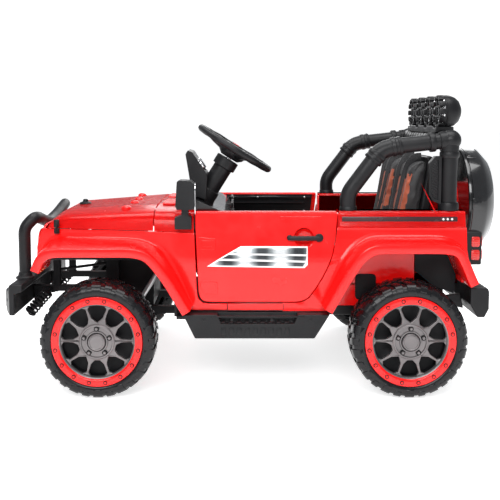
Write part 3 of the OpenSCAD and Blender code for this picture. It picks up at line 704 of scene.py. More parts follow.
# ---------- doors ----------
door_outline = [(x, min(z, 455)) for x, z in DOOR]
recess = [(-103 + 24 * math.cos(a * math.pi / 18), 392 + 24 * math.sin(a * math.pi / 18)) for a in range(36)]
b = panel(soft_outline(door_outline, 7, 3), [recess], 9, 2.2, zs=(430, 452))
for v in b.verts:  # the rounded top edge turns in over the card
    if v.co.z > 452:
        v.co.y -= 1.5
dish = lathe([(24.2, 0.4), (23, -1.5), (20, -5), (14, -8.4), (7, -10), (0, -10.4)], 40)
merge(b, dish, Matrix.Translation((-103, side_y(0, 392) - 0.6, 392)) @ Matrix.Rotation(math.radians(-90 - 9.5), 4, "X"))
for z0, z1, x0, x1 in ((362, 394, 121, 165), (248, 283, 116, 160)):  # hinge pads
    outline = soft_outline([(x0, z0 + 4), (x0 + 3, z0), (x1 - 5, z0 + 1), (x1, z0 + 8), (x1, z1 - 4), (x1 - 4, z1),
                            (x0, z1 - 3)], 5)
    merge(b, panel(outline, (), 3, 1.2, outward=2.2))
    inner = soft_outline([(x0 + 6, z0 + 8), (x1 - 8, z0 + 8), (x1 - 8, z1 - 8), (x0 + 6, z1 - 8)], 4)
    merge(b, panel(inner, (), 2, 0.6, outward=3.0))
strip = soft_outline([(-149, 438), (-42, 438), (-42, 446), (-149, 446)], 3)
merge(b, panel(strip, (), 3, 1.0, outward=1.6))
merge(b, rbox(-187, 173, 255, 270.2, 449, 458.6, 3.5, 3))
weigh(piece("door_skin_left", b, RED, "door_left", "red_plastic", ["door_left"], mirror=True),
      MADE["door_skin_right"])

# Door cards: glossy rails, a pocket panel and screws
for name in ("left", "right"):
    paint("door_card_" + name, SATIN)
b = shape()
merge(b, upright(plate(soft_outline([(-170, 440), (160, 440), (160, 449), (-170, 449)], 3), 0, 3.5, 1.2), 245.6))
merge(b, upright(plate(soft_outline([(-150, 425), (150, 425), (150, 430), (-150, 430)], 2), 0, 4, 1.5), 245.4))
merge(b, upright(plate(soft_outline([(-128, 262), (140, 262), (148, 330), (-140, 330)], 16), 0, 6, 2.5), 243.6))
piece("door_rail_left", b, GLOSS, "door_left", "gloss_black", mirror=True)
b = shape()
for x in (-150, 0, 142):
    merge(b, screw(3.4), facing((0, -1, 0), (x, 245.3, 444.5)))
for x, z in ((-150, 400), (140, 400), (-120, 250), (130, 250)):
    merge(b, screw(3.4), facing((0, -1, 0), (x, 248.6, z)))
piece("door_screws_left", b, STEEL, "door_left", "steel", mirror=True)

# Handle: a bar with a round button over the dish
y0 = side_y(0, 392)
b = shape()
merge(b, tube(rounded([(-141, y0 + 8.5, 392), (-120, y0 + 9.3, 392), (-84, y0 + 9.3, 392), (-66, y0 + 8.5, 392)], 8), 6,
              18))
merge(b, lathe([(10.5, -1), (10.5, 9), (9.2, 11.6), (6.4, 12), (5.8, 11), (0, 11)], 28),
      facing((0, 1, 0.17), (-141, y0, 392)))
merge(b, lathe([(7, -2), (7, 9), (5, 12), (0, 13)], 20), facing((0, 1, 0.17), (-66, y0, 392)))
for i in range(5):
    x = -124 + 11 * i
    merge(b, tube([(x, y0 + 9.3, 392), (x + 3, y0 + 9.3, 392)], 6.7, 18))
piece("handle_bar_left", b, SATIN, "door_left", stands_for=["door_handle_left"], mirror=True)

# ---------- bonnet, cowl and nose ----------
HOOD_SECTION = [(6, 120), (5, 90), (2, 60), (-2, 30), (-7, 17), (-15, 9), (-26, 5)]  # height over the crown line, inset


def hood_edge(x):
    return HALF_W - (x - DOOR_FRONT) * TAPER - 5


def hood_crown(x):
    drop = table([(530, 1), (552, 0.73), (561, 0.53), (566, 0.3), (568, 0.05)], x)
    top = 457 - (x - 281) * math.tan(math.radians(3.5))
    return 407 + (top - 407) * drop if drop < 1 else top


rows = []
for x in [282, 283, 286, 300, 340, 380, 420, 460, 500, 525, 538, 548, 555, 560, 564, 566.5, 568]:
    crown, edge = hood_crown(x), hood_edge(x)
    lift = min(1, (crown - 407) / 30)
    half = [(edge - inset, max(407.2, crown + dz * lift)) for dz, inset in HOOD_SECTION]
    half.append((edge, 407.1))
    row = [(x, -y, z) for y, z in reversed(half)] + [(x, 0, crown + 6 * lift)] + [(x, y, z) for y, z in half]
    rows.append(row)
b = shell(rows, 6)
for x, y in ((356, 49), (362, 178), (356, -49), (362, -178)):
    merge(b, lathe([(13, -3), (13, 2), (11, 5), (6, 7.4), (0, 8)], 28), facing((0, 0, 1), (x, y, hood_crown(x) + 4)))
weigh(piece("hood_skin", b, RED, "hood", "red_plastic", ["hood"], angle=40))
b = lathe([(17, -2), (17, 3), (15, 6), (8, 8), (7, 13), (5, 15), (0, 15.5)], 32)
piece("hood_stud", merge(shape(), b, facing((0, 0, 1), (505, 0, hood_crown(505) + 5))), SATIN, "hood")
b = shape()
for y in (216, -216):
    for z0, z1 in ((410, 431), (393, 408)):
        merge(b, rbox(533, 547, y - 5, y + 5, z0, z1, 3, 2))
    merge(b, rbox(537, 543, y - 7, y + 7, 400, 424, 1.5, 2))
piece("hood_clips", b, SATIN, "hood", stands_for=["hood_latches"])

# Cowl, from the doors to the bonnet's edge
rows = []
for x in [226, 250, 270, 277, 279.5]:
    edge = side_y(x, 406)
    crown = table([(177, 459), (226, 463), (279.5, 463)], x)
    half = [(0, crown + 0.5), (90, crown), (150, crown - 2), (205, crown - 4), (edge - 46, crown - 6),
            (edge - 30, crown - 9), (edge - 17, crown - 14), (edge - 9, crown - 23), (edge - 4, crown - 36),
            (edge - 0.6, 410), (edge - 0.4, 406.4)]
    rows.append([(x, -y, z) for y, z in reversed(half)] + [(x, y, z) for y, z in half[1:]])
b = shell(rows, 6)
for side in (1, -1):
    strip = []
    for x in [177, 190, 205, 226.5]:
        edge = side_y(x, 406)
        strip.append([(x, side * y, z) for y, z in ((edge - 0.4, 406.4), (edge - 4, 424), (edge - 10, 440),
                                                    (edge - 17, 452), (edge - 26, 457), (edge - 40, 459))])
    merge(b, shell(strip, 5 if side > 0 else -5))
for i in range(6):
    for side in (1, -1):
        merge(b, rbox(234, 268, side * (52 + 18 * i) - 3, side * (52 + 18 * i) + 3, 461, 467, 2, 2))
weigh(piece("cowl", b, RED, slot="red_plastic", stands_for=["front_body"], angle=40))

b = plate([(-268, 330), (268, 330), (258, 404), (252, 432), (238, 448), (200, 455), (0, 458), (-200, 455), (-238, 448),
           (-252, 432), (-258, 404)], 268, 274, 1)
piece("cowl_bulkhead", merge(shape(), b, Matrix(((0, 0, 1, 0), (1, 0, 0, 0), (0, 1, 0, 0), (0, 0, 0, 1)))), RED,
      slot="red_plastic")

# Nose panel with two lamp holes and four slots
lamp_hole = [(36.3 * math.cos(a * math.pi / 24), 362 + 36.3 * math.sin(a * math.pi / 24)) for a in range(48)]
holes = [[(x + side * 142, z) for x, z in lamp_hole] for side in (1, -1)]
holes += [soft_outline([(-92, 338 + 12 * i), (92, 338 + 12 * i), (92, 345 + 12 * i), (-92, 345 + 12 * i)], 3)
          for i in range(4)]
b = holed(soft_outline([(-198, 318), (198, 318), (198, 404), (190, 417), (-190, 417), (-198, 404)], 10), holes, -7, 0,
          2)
for z in (325, 335, 345, 355, 367, 380, 390, 398, 408):
    bmesh.ops.bisect_plane(b, geom=[*b.verts, *b.edges, *b.faces], dist=0.0001, plane_co=(0, z, 0), plane_no=(0, 1, 0))
bmesh.ops.triangulate(b, faces=[f for f in b.faces if len(f.verts) > 4])
NOSE = [(318, 590), (335, 597), (355, 597.5), (380, 592), (398, 585), (418, 575)]
for v in b.verts:
    y, z, depth = v.co
    v.co = (table(NOSE, z) + depth, y, z)
bmesh.ops.recalc_face_normals(b, faces=b.faces)
weigh(piece("nose_panel", b, RED, slot="red_plastic"))
paint("grille_insert", DARK)

# Headlights
rim, glass, bowl = shape(), shape(), shape()
for y in (142, -142):
    place = facing((1, 0, 0), (576, y, 362))
    merge(rim, lathe([(36, 0), (36, 21), (34, 24), (31, 23.6), (29.5, 20), (29.5, 2), (26, 0)], 48, True), place)
    merge(glass, lathe([(29.2, 15), (29.2, 18), (22, 21), (12, 23), (0, 23.6), (0, 20.6), (12, 20), (22, 18)], 40),
          place)
    merge(bowl, lathe([(29.3, 14), (24, 9), (16, 5), (8, 3), (8, 9), (6, 12), (0, 13)], 40), place)
piece("headlight_bezels", rim, RED, slot="red_plastic", stands_for=["headlights"])
piece("headlight_lenses", glass, CLEAR_LENS, slot="clear_lens")
piece("headlight_reflectors", bowl, CHROME, slot="clear_lens")

# Bay floor, and battery terminals
b = rbox(292, 585, -190, 190, 318.5, 326, 2)
for y in (-150, -75, 75, 150):
    merge(b, rbox(300, 560, y - 5, y + 5, 325, 330, 2))
piece("bay_floor", b, SATIN)
soften("battery", BATTERY, slot="battery_case", width=3)
b = shape()
for y in (-28, 28):
    merge(b, lathe([(8, 0), (8, 3), (5, 4), (5, 9), (3, 10), (0, 10)], 20), facing((0, 0, 1), (350, y, 391)))
piece("battery_terminals", b, STEEL, slot="steel")

# ---------- wheels ----------
def polar(points, turn):
    return [(r * math.cos(math.radians(a + turn)), r * math.sin(math.radians(a + turn))) for r, a in points]


def opening(points, turn):
    """One opening of the face from half its outline, given as (radius, angle to each side)."""
    both_sides = [(r, a) for r, a in points] + [(r, -a) for r, a in reversed(points) if a]
    return soft_outline(polar(both_sides, turn), 2, 2)


def wheel(side, end):
    """A wheel drawn about +Z, outward, then turned to +Y or -Y at its hub."""
    body = "wheel_%s_%s" % (end, side)
    hub = Vector((FRONT_X if end == "front" else REAR_X, WHEEL_Y, TYRE_R))
    place = Matrix.Translation(hub) @ Matrix.Rotation(math.radians(-90), 4, "X")
    if side == "right":
        place = Matrix.Rotation(math.pi, 4, "Z") @ Matrix.Translation((-hub.x, WHEEL_Y, TYRE_R)) @ Matrix.Rotation(
            math.radians(-90), 4, "X")

    def made(name, b, mat, slot, stands_for=(), angle=32):
        b.transform(place)
        return piece("%s_%s_%s" % (name, end, side), b, mat, body, slot, stands_for, angle)

    half = [(113, 52), (118, 55), (126, 55.4), (133, 53), (138, 48), (140, 41), (140.6, 20)]
    tread = lathe(half + [(r, -h) for r, h in reversed(half)] + [(105, -30), (104, 0), (105, 30)], 96, True)
    count = 28
    for i in range(count):
        for face in (1, -1):
            turn = 2 * math.pi * (i + (0.5 if face < 0 else 0)) / count
            long = i % 2
            # shoulder block: from the crown, over the shoulder and down the wall
            low, width = (119 if long else 126), (11.5 if long else 9)
            section = [(low, 54.5), (low + 3, 56.4), (131, 55.4), (137.5, 52), (142.5, 46), (144.4, 38), (145, 22),
                       (145, 14 if long else 18), (136, 14 if long else 18), (136, 40), (low, 50)]
            block = shape()
            ends = []
            for s in (-1, 1):
                ring = []
                for k, (r, h) in enumerate(section):
                    a = s * width / 137 * (0.84 if r > 143 else 1) + (0.05 if h < 30 else 0.0)
                    ring.append(block.verts.new((r * math.cos(turn + a), r * math.sin(turn + a), face * h)))
                ends.append(ring)
            n = len(section)
            for k in range(n):
                block.faces.new((ends[0][k], ends[0][(k + 1) % n], ends[1][(k + 1) % n], ends[1][k]))
            block.faces.new(ends[0])
            block.faces.new(ends[1][::-1])
            bmesh.ops.recalc_face_normals(block, faces=block.faces)
            bmesh.ops.bevel(block, geom=list(block.edges), offset=0.9, segments=1, affect="EDGES", clamp_overlap=True)
            merge(tread, block)
        turn = 2 * math.pi * (i + 0.25) / count
        for face in (1, -1):
            lug = rbox(-7.5, 7.5, 1.5, 11, 134, 145, 1.2, 1)
            place_lug = (Matrix.Rotation(turn + (0.06 if face > 0 else -0.06), 4, "Z")
                         @ Matrix(((0, 0, 1, 0), (1, 0, 0, 0), (0, face, 0, 0), (0, 0, 0, 1))))
            merge(tread, lug, place_lug)
    bmesh.ops.recalc_face_normals(tread, faces=tread.faces)
    made("tread", tread, TYRE, "tyre", ["tyre_%s_%s" % (end, side)], 40)

    # Red bead ring with its bolts
    ring = lathe([(94, 40), (94, 51), (96, 53.6), (99, 54.6), (109, 54.6), (112.2, 53.4), (113.4, 51), (113.4, 40)], 96,
                 True)
    made("bead_ring", ring, RED, "red_plastic", angle=35)
    bolts, rings = shape(), shape()
    for i in range(16):
        a = 2 * math.pi * (i + 0.5) / 16
        place_bolt = Matrix.Translation((104 * math.cos(a), 104 * math.sin(a), 0))
        merge(bolts, lathe([(3.2, 54), (3.2, 56.4), (2.4, 57.2), (0, 57.3)], 12), place_bolt)
        merge(rings, lathe([(3.2, 54), (5.4, 54), (5.4, 55.2), (3.2, 55.2)], 16, True), place_bolt)
    made("bead_bolts", bolts, RED, "red_plastic")
    made("bead_bolt_seats", rings, DARK, "black_plastic")

    # Face with ten openings, alternately pointed and blunt
    outer = [(94.5 * math.cos(a * math.pi / 48), 94.5 * math.sin(a * math.pi / 48)) for a in range(96)]
    holes = []
    for i in range(5):
        holes.append(opening([(47, 0), (60, 13.5), (84, 16.2), (91.5, 10)], 54 + 72 * i))
        holes.append(opening([(48, 8), (60, 15.5), (84, 16.2), (91.5, 10)], 18 + 72 * i))
    disc = holed(outer, holes, 34, 44, 1.6)
    bmesh.ops.triangulate(disc, faces=[f for f in disc.faces if len(f.verts) > 4])
    for v in disc.verts:  # dished towards the hub
        r = math.hypot(v.co.x, v.co.y)
        v.co.z += 3.5 - 7 * min(1, max(0, (r - 44) / 50)) ** 1.5 + (4 if r > 90 else 0)
    merge(disc, lathe([(44, 40), (44, 50.5), (42, 52.4), (39, 52.4), (37.6, 49), (28, 49), (26.6, 52.5), (24, 52.5),
                       (23, 50), (0, 50), (0, 40)], 56))
    merge(disc, lathe([(90, 37), (90, 46), (92, 49), (94.5, 50), (94.5, 37)], 96, True))
    made("rim_face", disc, GUNMETAL, "rim", ["rim_%s_%s" % (end, side)], 35)
    barrel = lathe([(94, 44), (92, 40), (90, -44), (94, -50), (103, -52), (103, -46), (97, -40), (97, 38)], 72, True)
    merge(barrel, lathe([(0, 14), (60, 14), (91, 17), (91, 9), (60, 6), (20, 6), (20, -50), (0, -50)], 48))
    for i in range(10):
        merge(barrel, rbox(18, 91, -3, 3, -2, 13, 1.5, 1), Matrix.Rotation(math.radians(36 * i + 18), 4, "Z"))
    made("rim_barrel", barrel, DARK, "rim", angle=35)
    cap = lathe([(21.4, 48), (21.4, 55), (20, 57), (17.4, 57.6), (16.4, 56.4), (0, 56)], 40)
    lugs = shape()
    for i in range(5):
        a = math.radians(72 * i + 54)
        place_lug = Matrix.Translation((33 * math.cos(a), 33 * math.sin(a), 0))
        merge(cap, lathe([(4.4, 49), (4.4, 54.5), (3.4, 56), (0, 56)], 6), place_lug)
        merge(lugs, lathe([(4.4, 48.6), (6.4, 48.6), (6.4, 52.5), (5.4, 53.4), (4.4, 52.5)], 18, True), place_lug)
    merge(lugs, lathe([(21.6, 48.6), (23.6, 48.6), (23.6, 51.4), (21.6, 51.4)], 40, True))
    made("hub_cap", cap, GUNMETAL, "rim")
    made("lug_seats", lugs, DARK, "black_plastic")


for end in ("front", "rear"):
    for side in ("left", "right"):
        wheel(side, end)

# ---------- steering wheel ----------


def on_column(b):
    b.transform(Matrix.Translation(COLUMN) @ Matrix.Rotation(-COLUMN_TILT, 4, "Y"))
    return b


ring = [(106 * math.cos(2 * math.pi * i / 72), 106 * math.sin(2 * math.pi * i / 72), 0) for i in range(72)]
swell = [1 + 0.06 * math.cos(12 * 2 * math.pi * i / 72) * (abs(math.sin(2 * math.pi * i / 72)) > 0.55) for i in range(72)]
b = tube(ring, 9.4, 20, True, swell)
for turn in (0, 120, 240):
    a = math.radians(turn)
    spoke = [(34, 0, -14), (60, 0, -10), (84, 0, -4), (104, 0, 0)]
    part = sweep(spoke, circle(11, 16, 0.42), up=Vector((0, 0, 1)), scale=[1.5, 1.15, 0.95, 0.9])
    merge(b, part, Matrix.Rotation(a, 4, "Z"))
merge(b, lathe([(0, -30), (26, -30), (36, -22), (41, -12), (41, -4), (37, 3), (28, 7), (0, 9)], 48))
merge(b, lathe([(22, 7.5), (22, 9.6), (20.5, 10.6), (0, 10.8)], 40))
piece("steering_wheel_moulding", on_column(b), SATIN, "steering", stands_for=["steering_wheel"])
b = shape()
for y in (-1, 1):
    merge(b, rbox(-3.4, 3.4, y * 10 - 5, y * 10 + 5, 10, 11.8, 1))
merge(b, plate(soft_outline([(-10, -7), (10, -7), (13, 0), (10, 7), (-10, 7), (-13, 0)], 3), 10.4, 11.4, 0.4))
piece("steering_wheel_badge_plate", on_column(b), RED, "steering", "red_plastic")
soften("steering_column", SATIN)
paint("steering_shaft", STEEL)
for node in ("knuckle_left", "knuckle_right"):
    paint(node, STEEL)
paint("tie_rod", STEEL)
paint("rear_axle", STEEL)
paint("front_links", DARK)

# ---------- roll bar ----------
BAR_Y = 243
side_path = rounded([(-220, 0, 452), (-217, 0, 500), (-300, 0, 612), (-338, 0, 623), (-452, 0, 636)], 22, 7)
b = shape()
for y in (BAR_Y, -BAR_Y):
    path = [Vector((p.x, y, p.z)) for p in side_path]
    merge(b, tube(path, 20.4, 28))
    # the elbow between its two couplers stands a little prouder
    elbow = [p for p in path if -345 < p.x < -262 and p.z > 560]
    merge(b, tube(elbow, 22.6, 28))
    for end, toward in ((elbow[0], elbow[1]), (elbow[-1], elbow[-2])):
        away = (end - toward).normalized()
        merge(b, lathe([(20, -14), (24, -14), (25, -12), (25, -5), (23.6, -3), (23.6, 3), (25, 5), (25, 9), (24, 11),
                        (20, 11)], 32, True), facing(away, end))
    merge(b, lathe([(20, 0), (22.4, 0), (22.4, 8), (21.2, 10), (20, 10)], 32, True),
          facing((0, 0, 1), (-219.5, y, 459)))
    merge(b, lathe([(20, 0), (24.6, 0), (25.4, 2), (25.4, 12), (24.6, 14), (20, 14)], 32, True),
          facing((-112, 0, 13), (-425, y, 633)))
    merge(b, tube([(-478, y, 452), (-478, y, 612)], 20.4, 28))
    merge(b, lathe([(20, 0), (26, 0), (26, 16), (24.4, 20), (20, 20)], 32, True), facing((0, 0, 1), (-478, y, 459)))
    merge(b, lathe([(20, 0), (24, 0), (25, 2), (25, 13), (24, 15), (20, 15)], 32, True),
          facing((0, 0, 1), (-478, y, 594)))
piece("roll_bar_tubes", b, SATIN, stands_for=["roll_bar"])
b = tube([(-480, -BAR_Y, 639), (-480, BAR_Y, 639)], 22.6, 28)
for y in (BAR_Y, -BAR_Y):
    merge(b, lathe([(0, -27), (10, -25), (19, -19), (25, -10), (26.8, 0), (25, 10), (19, 19), (10, 25), (0, 27)], 32),
          facing((0, 1, 0), (-480, y, 639)))
    merge(b, lathe([(23, 0), (24, 0), (24, 22), (23, 22)], 32, True), facing((0, 0, -1), (-478, y, 632)))
    merge(b, lathe([(21, 4), (24, 4), (24, 28), (21, 28)], 32, True), facing((112, 0, -13), (-480, y, 639)))
for y in range(-180, 181, 30):
    merge(b, lathe([(22, -1.6), (23.6, -1), (23.6, 1), (22, 1.6)], 32, True), facing((0, 1, 0), (-480, y, 639)))
piece("roll_cross_tube", b, SATIN, stands_for=["roll_cross_bar"])
# Side grilles: a frame with slanting ribs
outline = [(-425, 500), (-436, 482), (-456.7, 474), (-456.7, 598), (-440, 598), (-425, 580)]
inner = [(-430, 505), (-438, 491), (-449, 486), (-449, 588), (-441, 588), (-430, 573)]
b = upright(holed(outline, [inner], -11, 11, 1), BAR_Y)
merge(b, upright(plate(inner, -8, 8, 0.5), BAR_Y))
for i in range(13):
    z = 492 + 7 * i
    merge(b, tube([(-447, BAR_Y + 7.6, z), (-432, BAR_Y + 7.6, z + 9)], 1.9, 8))
    merge(b, tube([(-447, BAR_Y - 7.6, z), (-432, BAR_Y - 7.6, z + 9)], 1.9, 8))
piece("side_grille_ribs_left", b, SATIN, stands_for=["side_grilles"], mirror=True)

# ---------- roof lamps ----------


def lamp_place(y):
    return facing((1, 0, 0), (-450, y, 713))


pods, guards, bowls, glass = shape(), shape(), shape(), shape()
for i in (-1.5, -0.5, 0.5, 1.5):
    place = lamp_place(i * 100)
    merge(pods, lathe([(0, -79.6), (16, -78), (29, -71.5), (38, -61), (42.4, -50), (43.6, -42), (43.6, -36),
                       (42.6, -35),
                       (42.6, -34), (43.6, -33), (43.6, -31), (38, -31), (38, -38), (20, -46), (0, -48)], 48), place)
    ring = lathe([(36.5, -34), (43, -34), (43, -29), (36.5, -29)], 48, True)
    for k in range(12):
        tooth = rbox(34.5, 43.4, -7.4, 7.4, -34, -15, 2.2, 2)
        merge(ring, tooth, Matrix.Rotation(math.radians(30 * k), 4, "Z"))
    for s in (-13, 13):
        merge(ring, rbox(-35, 35, s - 2.4, s + 2.4, -23, -18, 1.2, 2))
        merge(ring, rbox(s - 2.4, s + 2.4, -35, 35, -23.4, -18.4, 1.2, 2))
    merge(guards, ring, place)
    merge(bowls, lathe([(41.6, -31), (41.6, -27), (37.4, -27), (33, -34), (22, -40), (10, -43), (9, -36), (6, -32),
                        (0, -31)],
                       40), place)
    merge(glass, lathe([(37, -27.6), (37, -25.6), (26, -24.2), (0, -23.6), (0, -25.6), (26, -26.2)], 40), place)
for b in (pods, guards):
    bmesh.ops.recalc_face_normals(b, faces=b.faces)
piece("lamp_pods", pods, SATIN, stands_for=["roof_lamps"])
piece("lamp_guards", guards, SATIN)
piece("lamp_reflectors", bowls, CHROME, slot="clear_lens")
piece("lamp_lenses", glass, CLEAR_LENS, slot="clear_lens")
soften("lamp_bar", SATIN, width=2)
b = shape()
for y in range(-150, 151, 100):
    merge(b, rbox(-500, -466, y - 12, y + 12, 656, 674, 2))
    for s in (-1, 1):
        across = y + 50 * s
        merge(b, screw(3.6), facing((0, 0, 1), (-483, across if abs(across) < 165 else 0, 675.2)))
piece("lamp_feet", b, SATIN)

# ---------- spare wheel cover and tail ----------
back = facing((-1, 0, 0), (-560, 0, 464))
b = lathe([(0, 80), (84, 80), (86, 78), (90, 74), (96, 74), (99, 77), (103, 79), (112, 79.4), (119, 77), (136, 61),
           (144, 53), (148, 47), (149, 41), (149, 12), (147.4, 10.5), (147.4, 8.5), (149, 7), (148, 2), (145, 0),
           (0, 0)],
          96)
for turn in range(6):
    strap = rbox(147, 151, -16, 16, 10, 34, 1.4, 2)
    merge(strap, rbox(149, 152, -9, 9, 14, 24, 1.2, 2))
    merge(b, strap, Matrix.Rotation(math.radians(60 * turn), 4, "Z"))
bmesh.ops.recalc_face_normals(b, faces=b.faces)
piece("spare_cover", merge(shape(), b, back), GLOSS, slot="gloss_black", stands_for=["spare_wheel_cover"])
b = lathe([(0, 0), (42, 0), (42, 6), (40, 10), (30, 14), (20, 15), (18, 20), (16, 26), (12, 29.6), (0, 30)], 48)
for i in range(5):
    merge(b, lathe([(4.6, 8), (4.6, 14), (3.4, 15.4), (0, 15.4)], 6),
          Matrix.Rotation(math.radians(72 * i), 4, "Z") @ Matrix.Translation((31, 0, 0)))
piece("spare_cap_knob", merge(shape(), b, facing((-1, 0, 0), (-640, 0, 464))), GLOSS, slot="gloss_black",
      stands_for=["spare_cap"])

soften("tail_lights", SATIN, width=4, steps=3)
b = shape()
for y in (245, -245):
    for z in (346, 380):
        merge(b, plate(soft_outline([(y - 17, z - 14), (y + 17, z - 14), (y + 17, z + 14), (y - 17, z + 14)], 5),
                       44, 47.5, 1.5), Matrix(((0, 0, -1, TAIL_X), (1, 0, 0, 0), (0, 1, 0, 0), (0, 0, 0, 1))))
for z in (346, 380):
    for s in (1, -1):
        side = plate(soft_outline([(-554, z - 13), (-533, z - 13), (-533, z + 13), (-554, z + 13)], 4), 266, 269.4, 1.2)
        merge(b, side, Matrix(((1, 0, 0, 0), (0, 0, s, 0), (0, 1, 0, 0), (0, 0, 0, 1))))
bmesh.ops.recalc_face_normals(b, faces=b.faces)
piece("tail_lenses", b, RED_LENS, slot="red_plastic")

# ---------- seats ----------
def inflate(obj, pressure, cap):
    """Voxel remesh, then swell under cloth pressure, with each point held within cap metres of its start."""
    remesh = obj.modifiers.new("remesh", "REMESH")
    remesh.mode = "VOXEL"
    remesh.voxel_size = 0.0055
    bake(obj)
    start = [v.co.copy() for v in obj.data.vertices]
    cloth = obj.modifiers.new("cloth", "CLOTH")
    cloth.settings.use_pressure = True
    cloth.settings.uniform_pressure_force = pressure
    cloth.settings.effector_weights.gravity = 0
    cloth.settings.quality = 6
    cloth.settings.tension_stiffness = 12
    cloth.settings.shrink_min = -0.02
    scene = bpy.context.scene
    for step in range(1, 21):
        scene.frame_set(step)
    moved = obj.evaluated_get(bpy.context.evaluated_depsgraph_get()).to_mesh()
    places = [v.co.copy() for v in moved.vertices]
    scene.frame_set(1)
    obj.modifiers.remove(cloth)
    for v, a, p in zip(obj.data.vertices, start, places):
        step = p - a
        v.co = a + (step if step.length <= cap else step * (cap / step.length))
    return obj


def bake(obj):
    """Applies an object's modifiers to its mesh."""
    deps = bpy.context.evaluated_depsgraph_get()
    mesh = bpy.data.meshes.new_from_object(obj.evaluated_get(deps))
    old = obj.data
    obj.modifiers.clear()
    obj.data = mesh
    bpy.data.meshes.remove(old)


def finish_pad(obj, channel, tan):
    """Presses the sewn channels in, colours the panels and smooths the result."""
    mesh = obj.data
    for v in mesh.vertices:
        depth = channel(v.co * 1000)
        v.co -= v.normal * depth * MM
    mesh.materials.clear()
    mesh.materials.append(BLACK_LEATHER)
    mesh.materials.append(TAN_LEATHER)
    for face in mesh.polygons:
        face.material_index = 1 if tan(face.center * 1000, face.normal) else 0
        face.use_smooth = True
    smooth = obj.modifiers.new("smooth", "SUBSURF")
    smooth.levels = smooth.render_levels = 1
    bake(obj)


def channel_at(distance, width=3.2, depth=3.4):
    return depth * math.exp(-(distance / width) ** 2)


CUSHION = [(-152, 303), (-143, 322), (-153, 333), (-328, 336), (-346, 326), (-350, 303)]
BACK = [(-345, 304), (-343, 336), (-355, 352), (-397, 556), (-405, 580), (-426, 588), (-432, 576), (-402, 366),
        (-397, 304)]
SEAT_Y = 109


def cushion_channel(p):
    y = p.y - SEAT_Y
    depth = channel_at(abs(abs(y) - 44)) if p.x > -340 else 0
    if abs(y) < 44:
        depth += sum(channel_at(abs(p.x + x), 3.0, 2.8) for x in (190, 232, 274, 316))
    return depth


def cushion_tan(p, n):
    return abs(p.y - SEAT_Y) < 42 and n.z > 0.3 and -322 < p.x < -172


def back_channel(p):
    y = p.y - SEAT_Y
    depth = channel_at(abs(abs(y) - 44)) if p.z > 350 else 0
    if abs(y) < 44:
        depth += sum(channel_at(abs(p.z - z), 3.0, 2.8) for z in (400, 446, 492, 536))
    return depth


def back_tan(p, n):
    y = abs(p.y - SEAT_Y)
    return n.x > 0.55 and (372 < p.z < 536 and y < 42 or 440 < p.z < 548 and 56 < y < 76)


def seat_part(name, outline, half, channel, tan, cap):
    b = plate(soft_outline(outline, 12, 4), -half, half, 10, 3)
    upright(b, SEAT_Y)
    obj = piece(name, b, BLACK_LEATHER, slot="seat_leather")
    inflate(obj, 4, cap)
    finish_pad(obj, channel, tan)
    return obj


def mirrored(obj, name, *stands_for):
    mesh = obj.data.copy()
    mesh.transform(Matrix.Diagonal((1, -1, 1, 1)))
    mesh.flip_normals()
    made = bpy.data.objects.new(name, mesh)
    bpy.context.collection.objects.link(made)
    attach(made, "chassis")
    if stands_for:
        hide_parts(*stands_for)
    return made


cushion = seat_part("seat_cushion_left", CUSHION, 84, cushion_channel, cushion_tan, 0.007)
back_pad = seat_part("seat_back_left", BACK, 84, back_channel, back_tan, 0.007)
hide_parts("seat_left")
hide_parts("seat_left")
mirrored(cushion, "seat_cushion_right", "seat_right")
mirrored(back_pad, "seat_back_right", "seat_right")
soften("seat_shells", SATIN, width=5, steps=3)
soften("seat_base", SATIN, width=5, steps=3)

# Harness: two shoulder straps, a lap strap and a buckle on each seat
strap = [(-1.1, -11), (-0.9, -12), (0.9, -12), (1.1, -11), (1.1, 11), (0.9, 12), (-0.9, 12), (-1.1, 11)]
b = shape()
buckle = shape()
for s in (-1, 1):
    path = rounded([(-428, SEAT_Y + 40 * s, 591), (-408, SEAT_Y + 40 * s, 590), (-391, SEAT_Y + 38 * s, 560),
                    (-372, SEAT_Y + 30 * s, 452),
                    (-351, SEAT_Y + 14 * s, 365), (-336, SEAT_Y + 5 * s, 347), (-300, SEAT_Y + 2 * s, 343)], 14, 4)
    merge(b, sweep(path, strap, up=Vector((1, 0, 0.2))))
    path = rounded([(-352, SEAT_Y + 82 * s, 350), (-330, SEAT_Y + 60 * s, 345), (-300, SEAT_Y + 18 * s, 343),
                    (-292, SEAT_Y + 6 * s, 343)], 14, 4)
    merge(b, sweep(path, [(t, u) for u, t in strap], up=Vector((0, 0, 1))))
merge(buckle, rbox(-313, -283, SEAT_Y - 16, SEAT_Y + 16, 340, 352, 4, 3))
merge(buckle, rbox(-306, -292, SEAT_Y - 7, SEAT_Y + 7, 350, 354.4, 1.6, 2))
for s in (-1, 1):
    merge(buckle, rbox(-399, -386, SEAT_Y + 39 * s - 15, SEAT_Y + 39 * s + 15, 527, 541, 2, 2),
          Matrix.Translation((-1, 0, 0)))
piece("harness_left", b, WEBBING, mirror=True)
piece("harness_buckle_left", buckle, GLOSS, mirror=True)

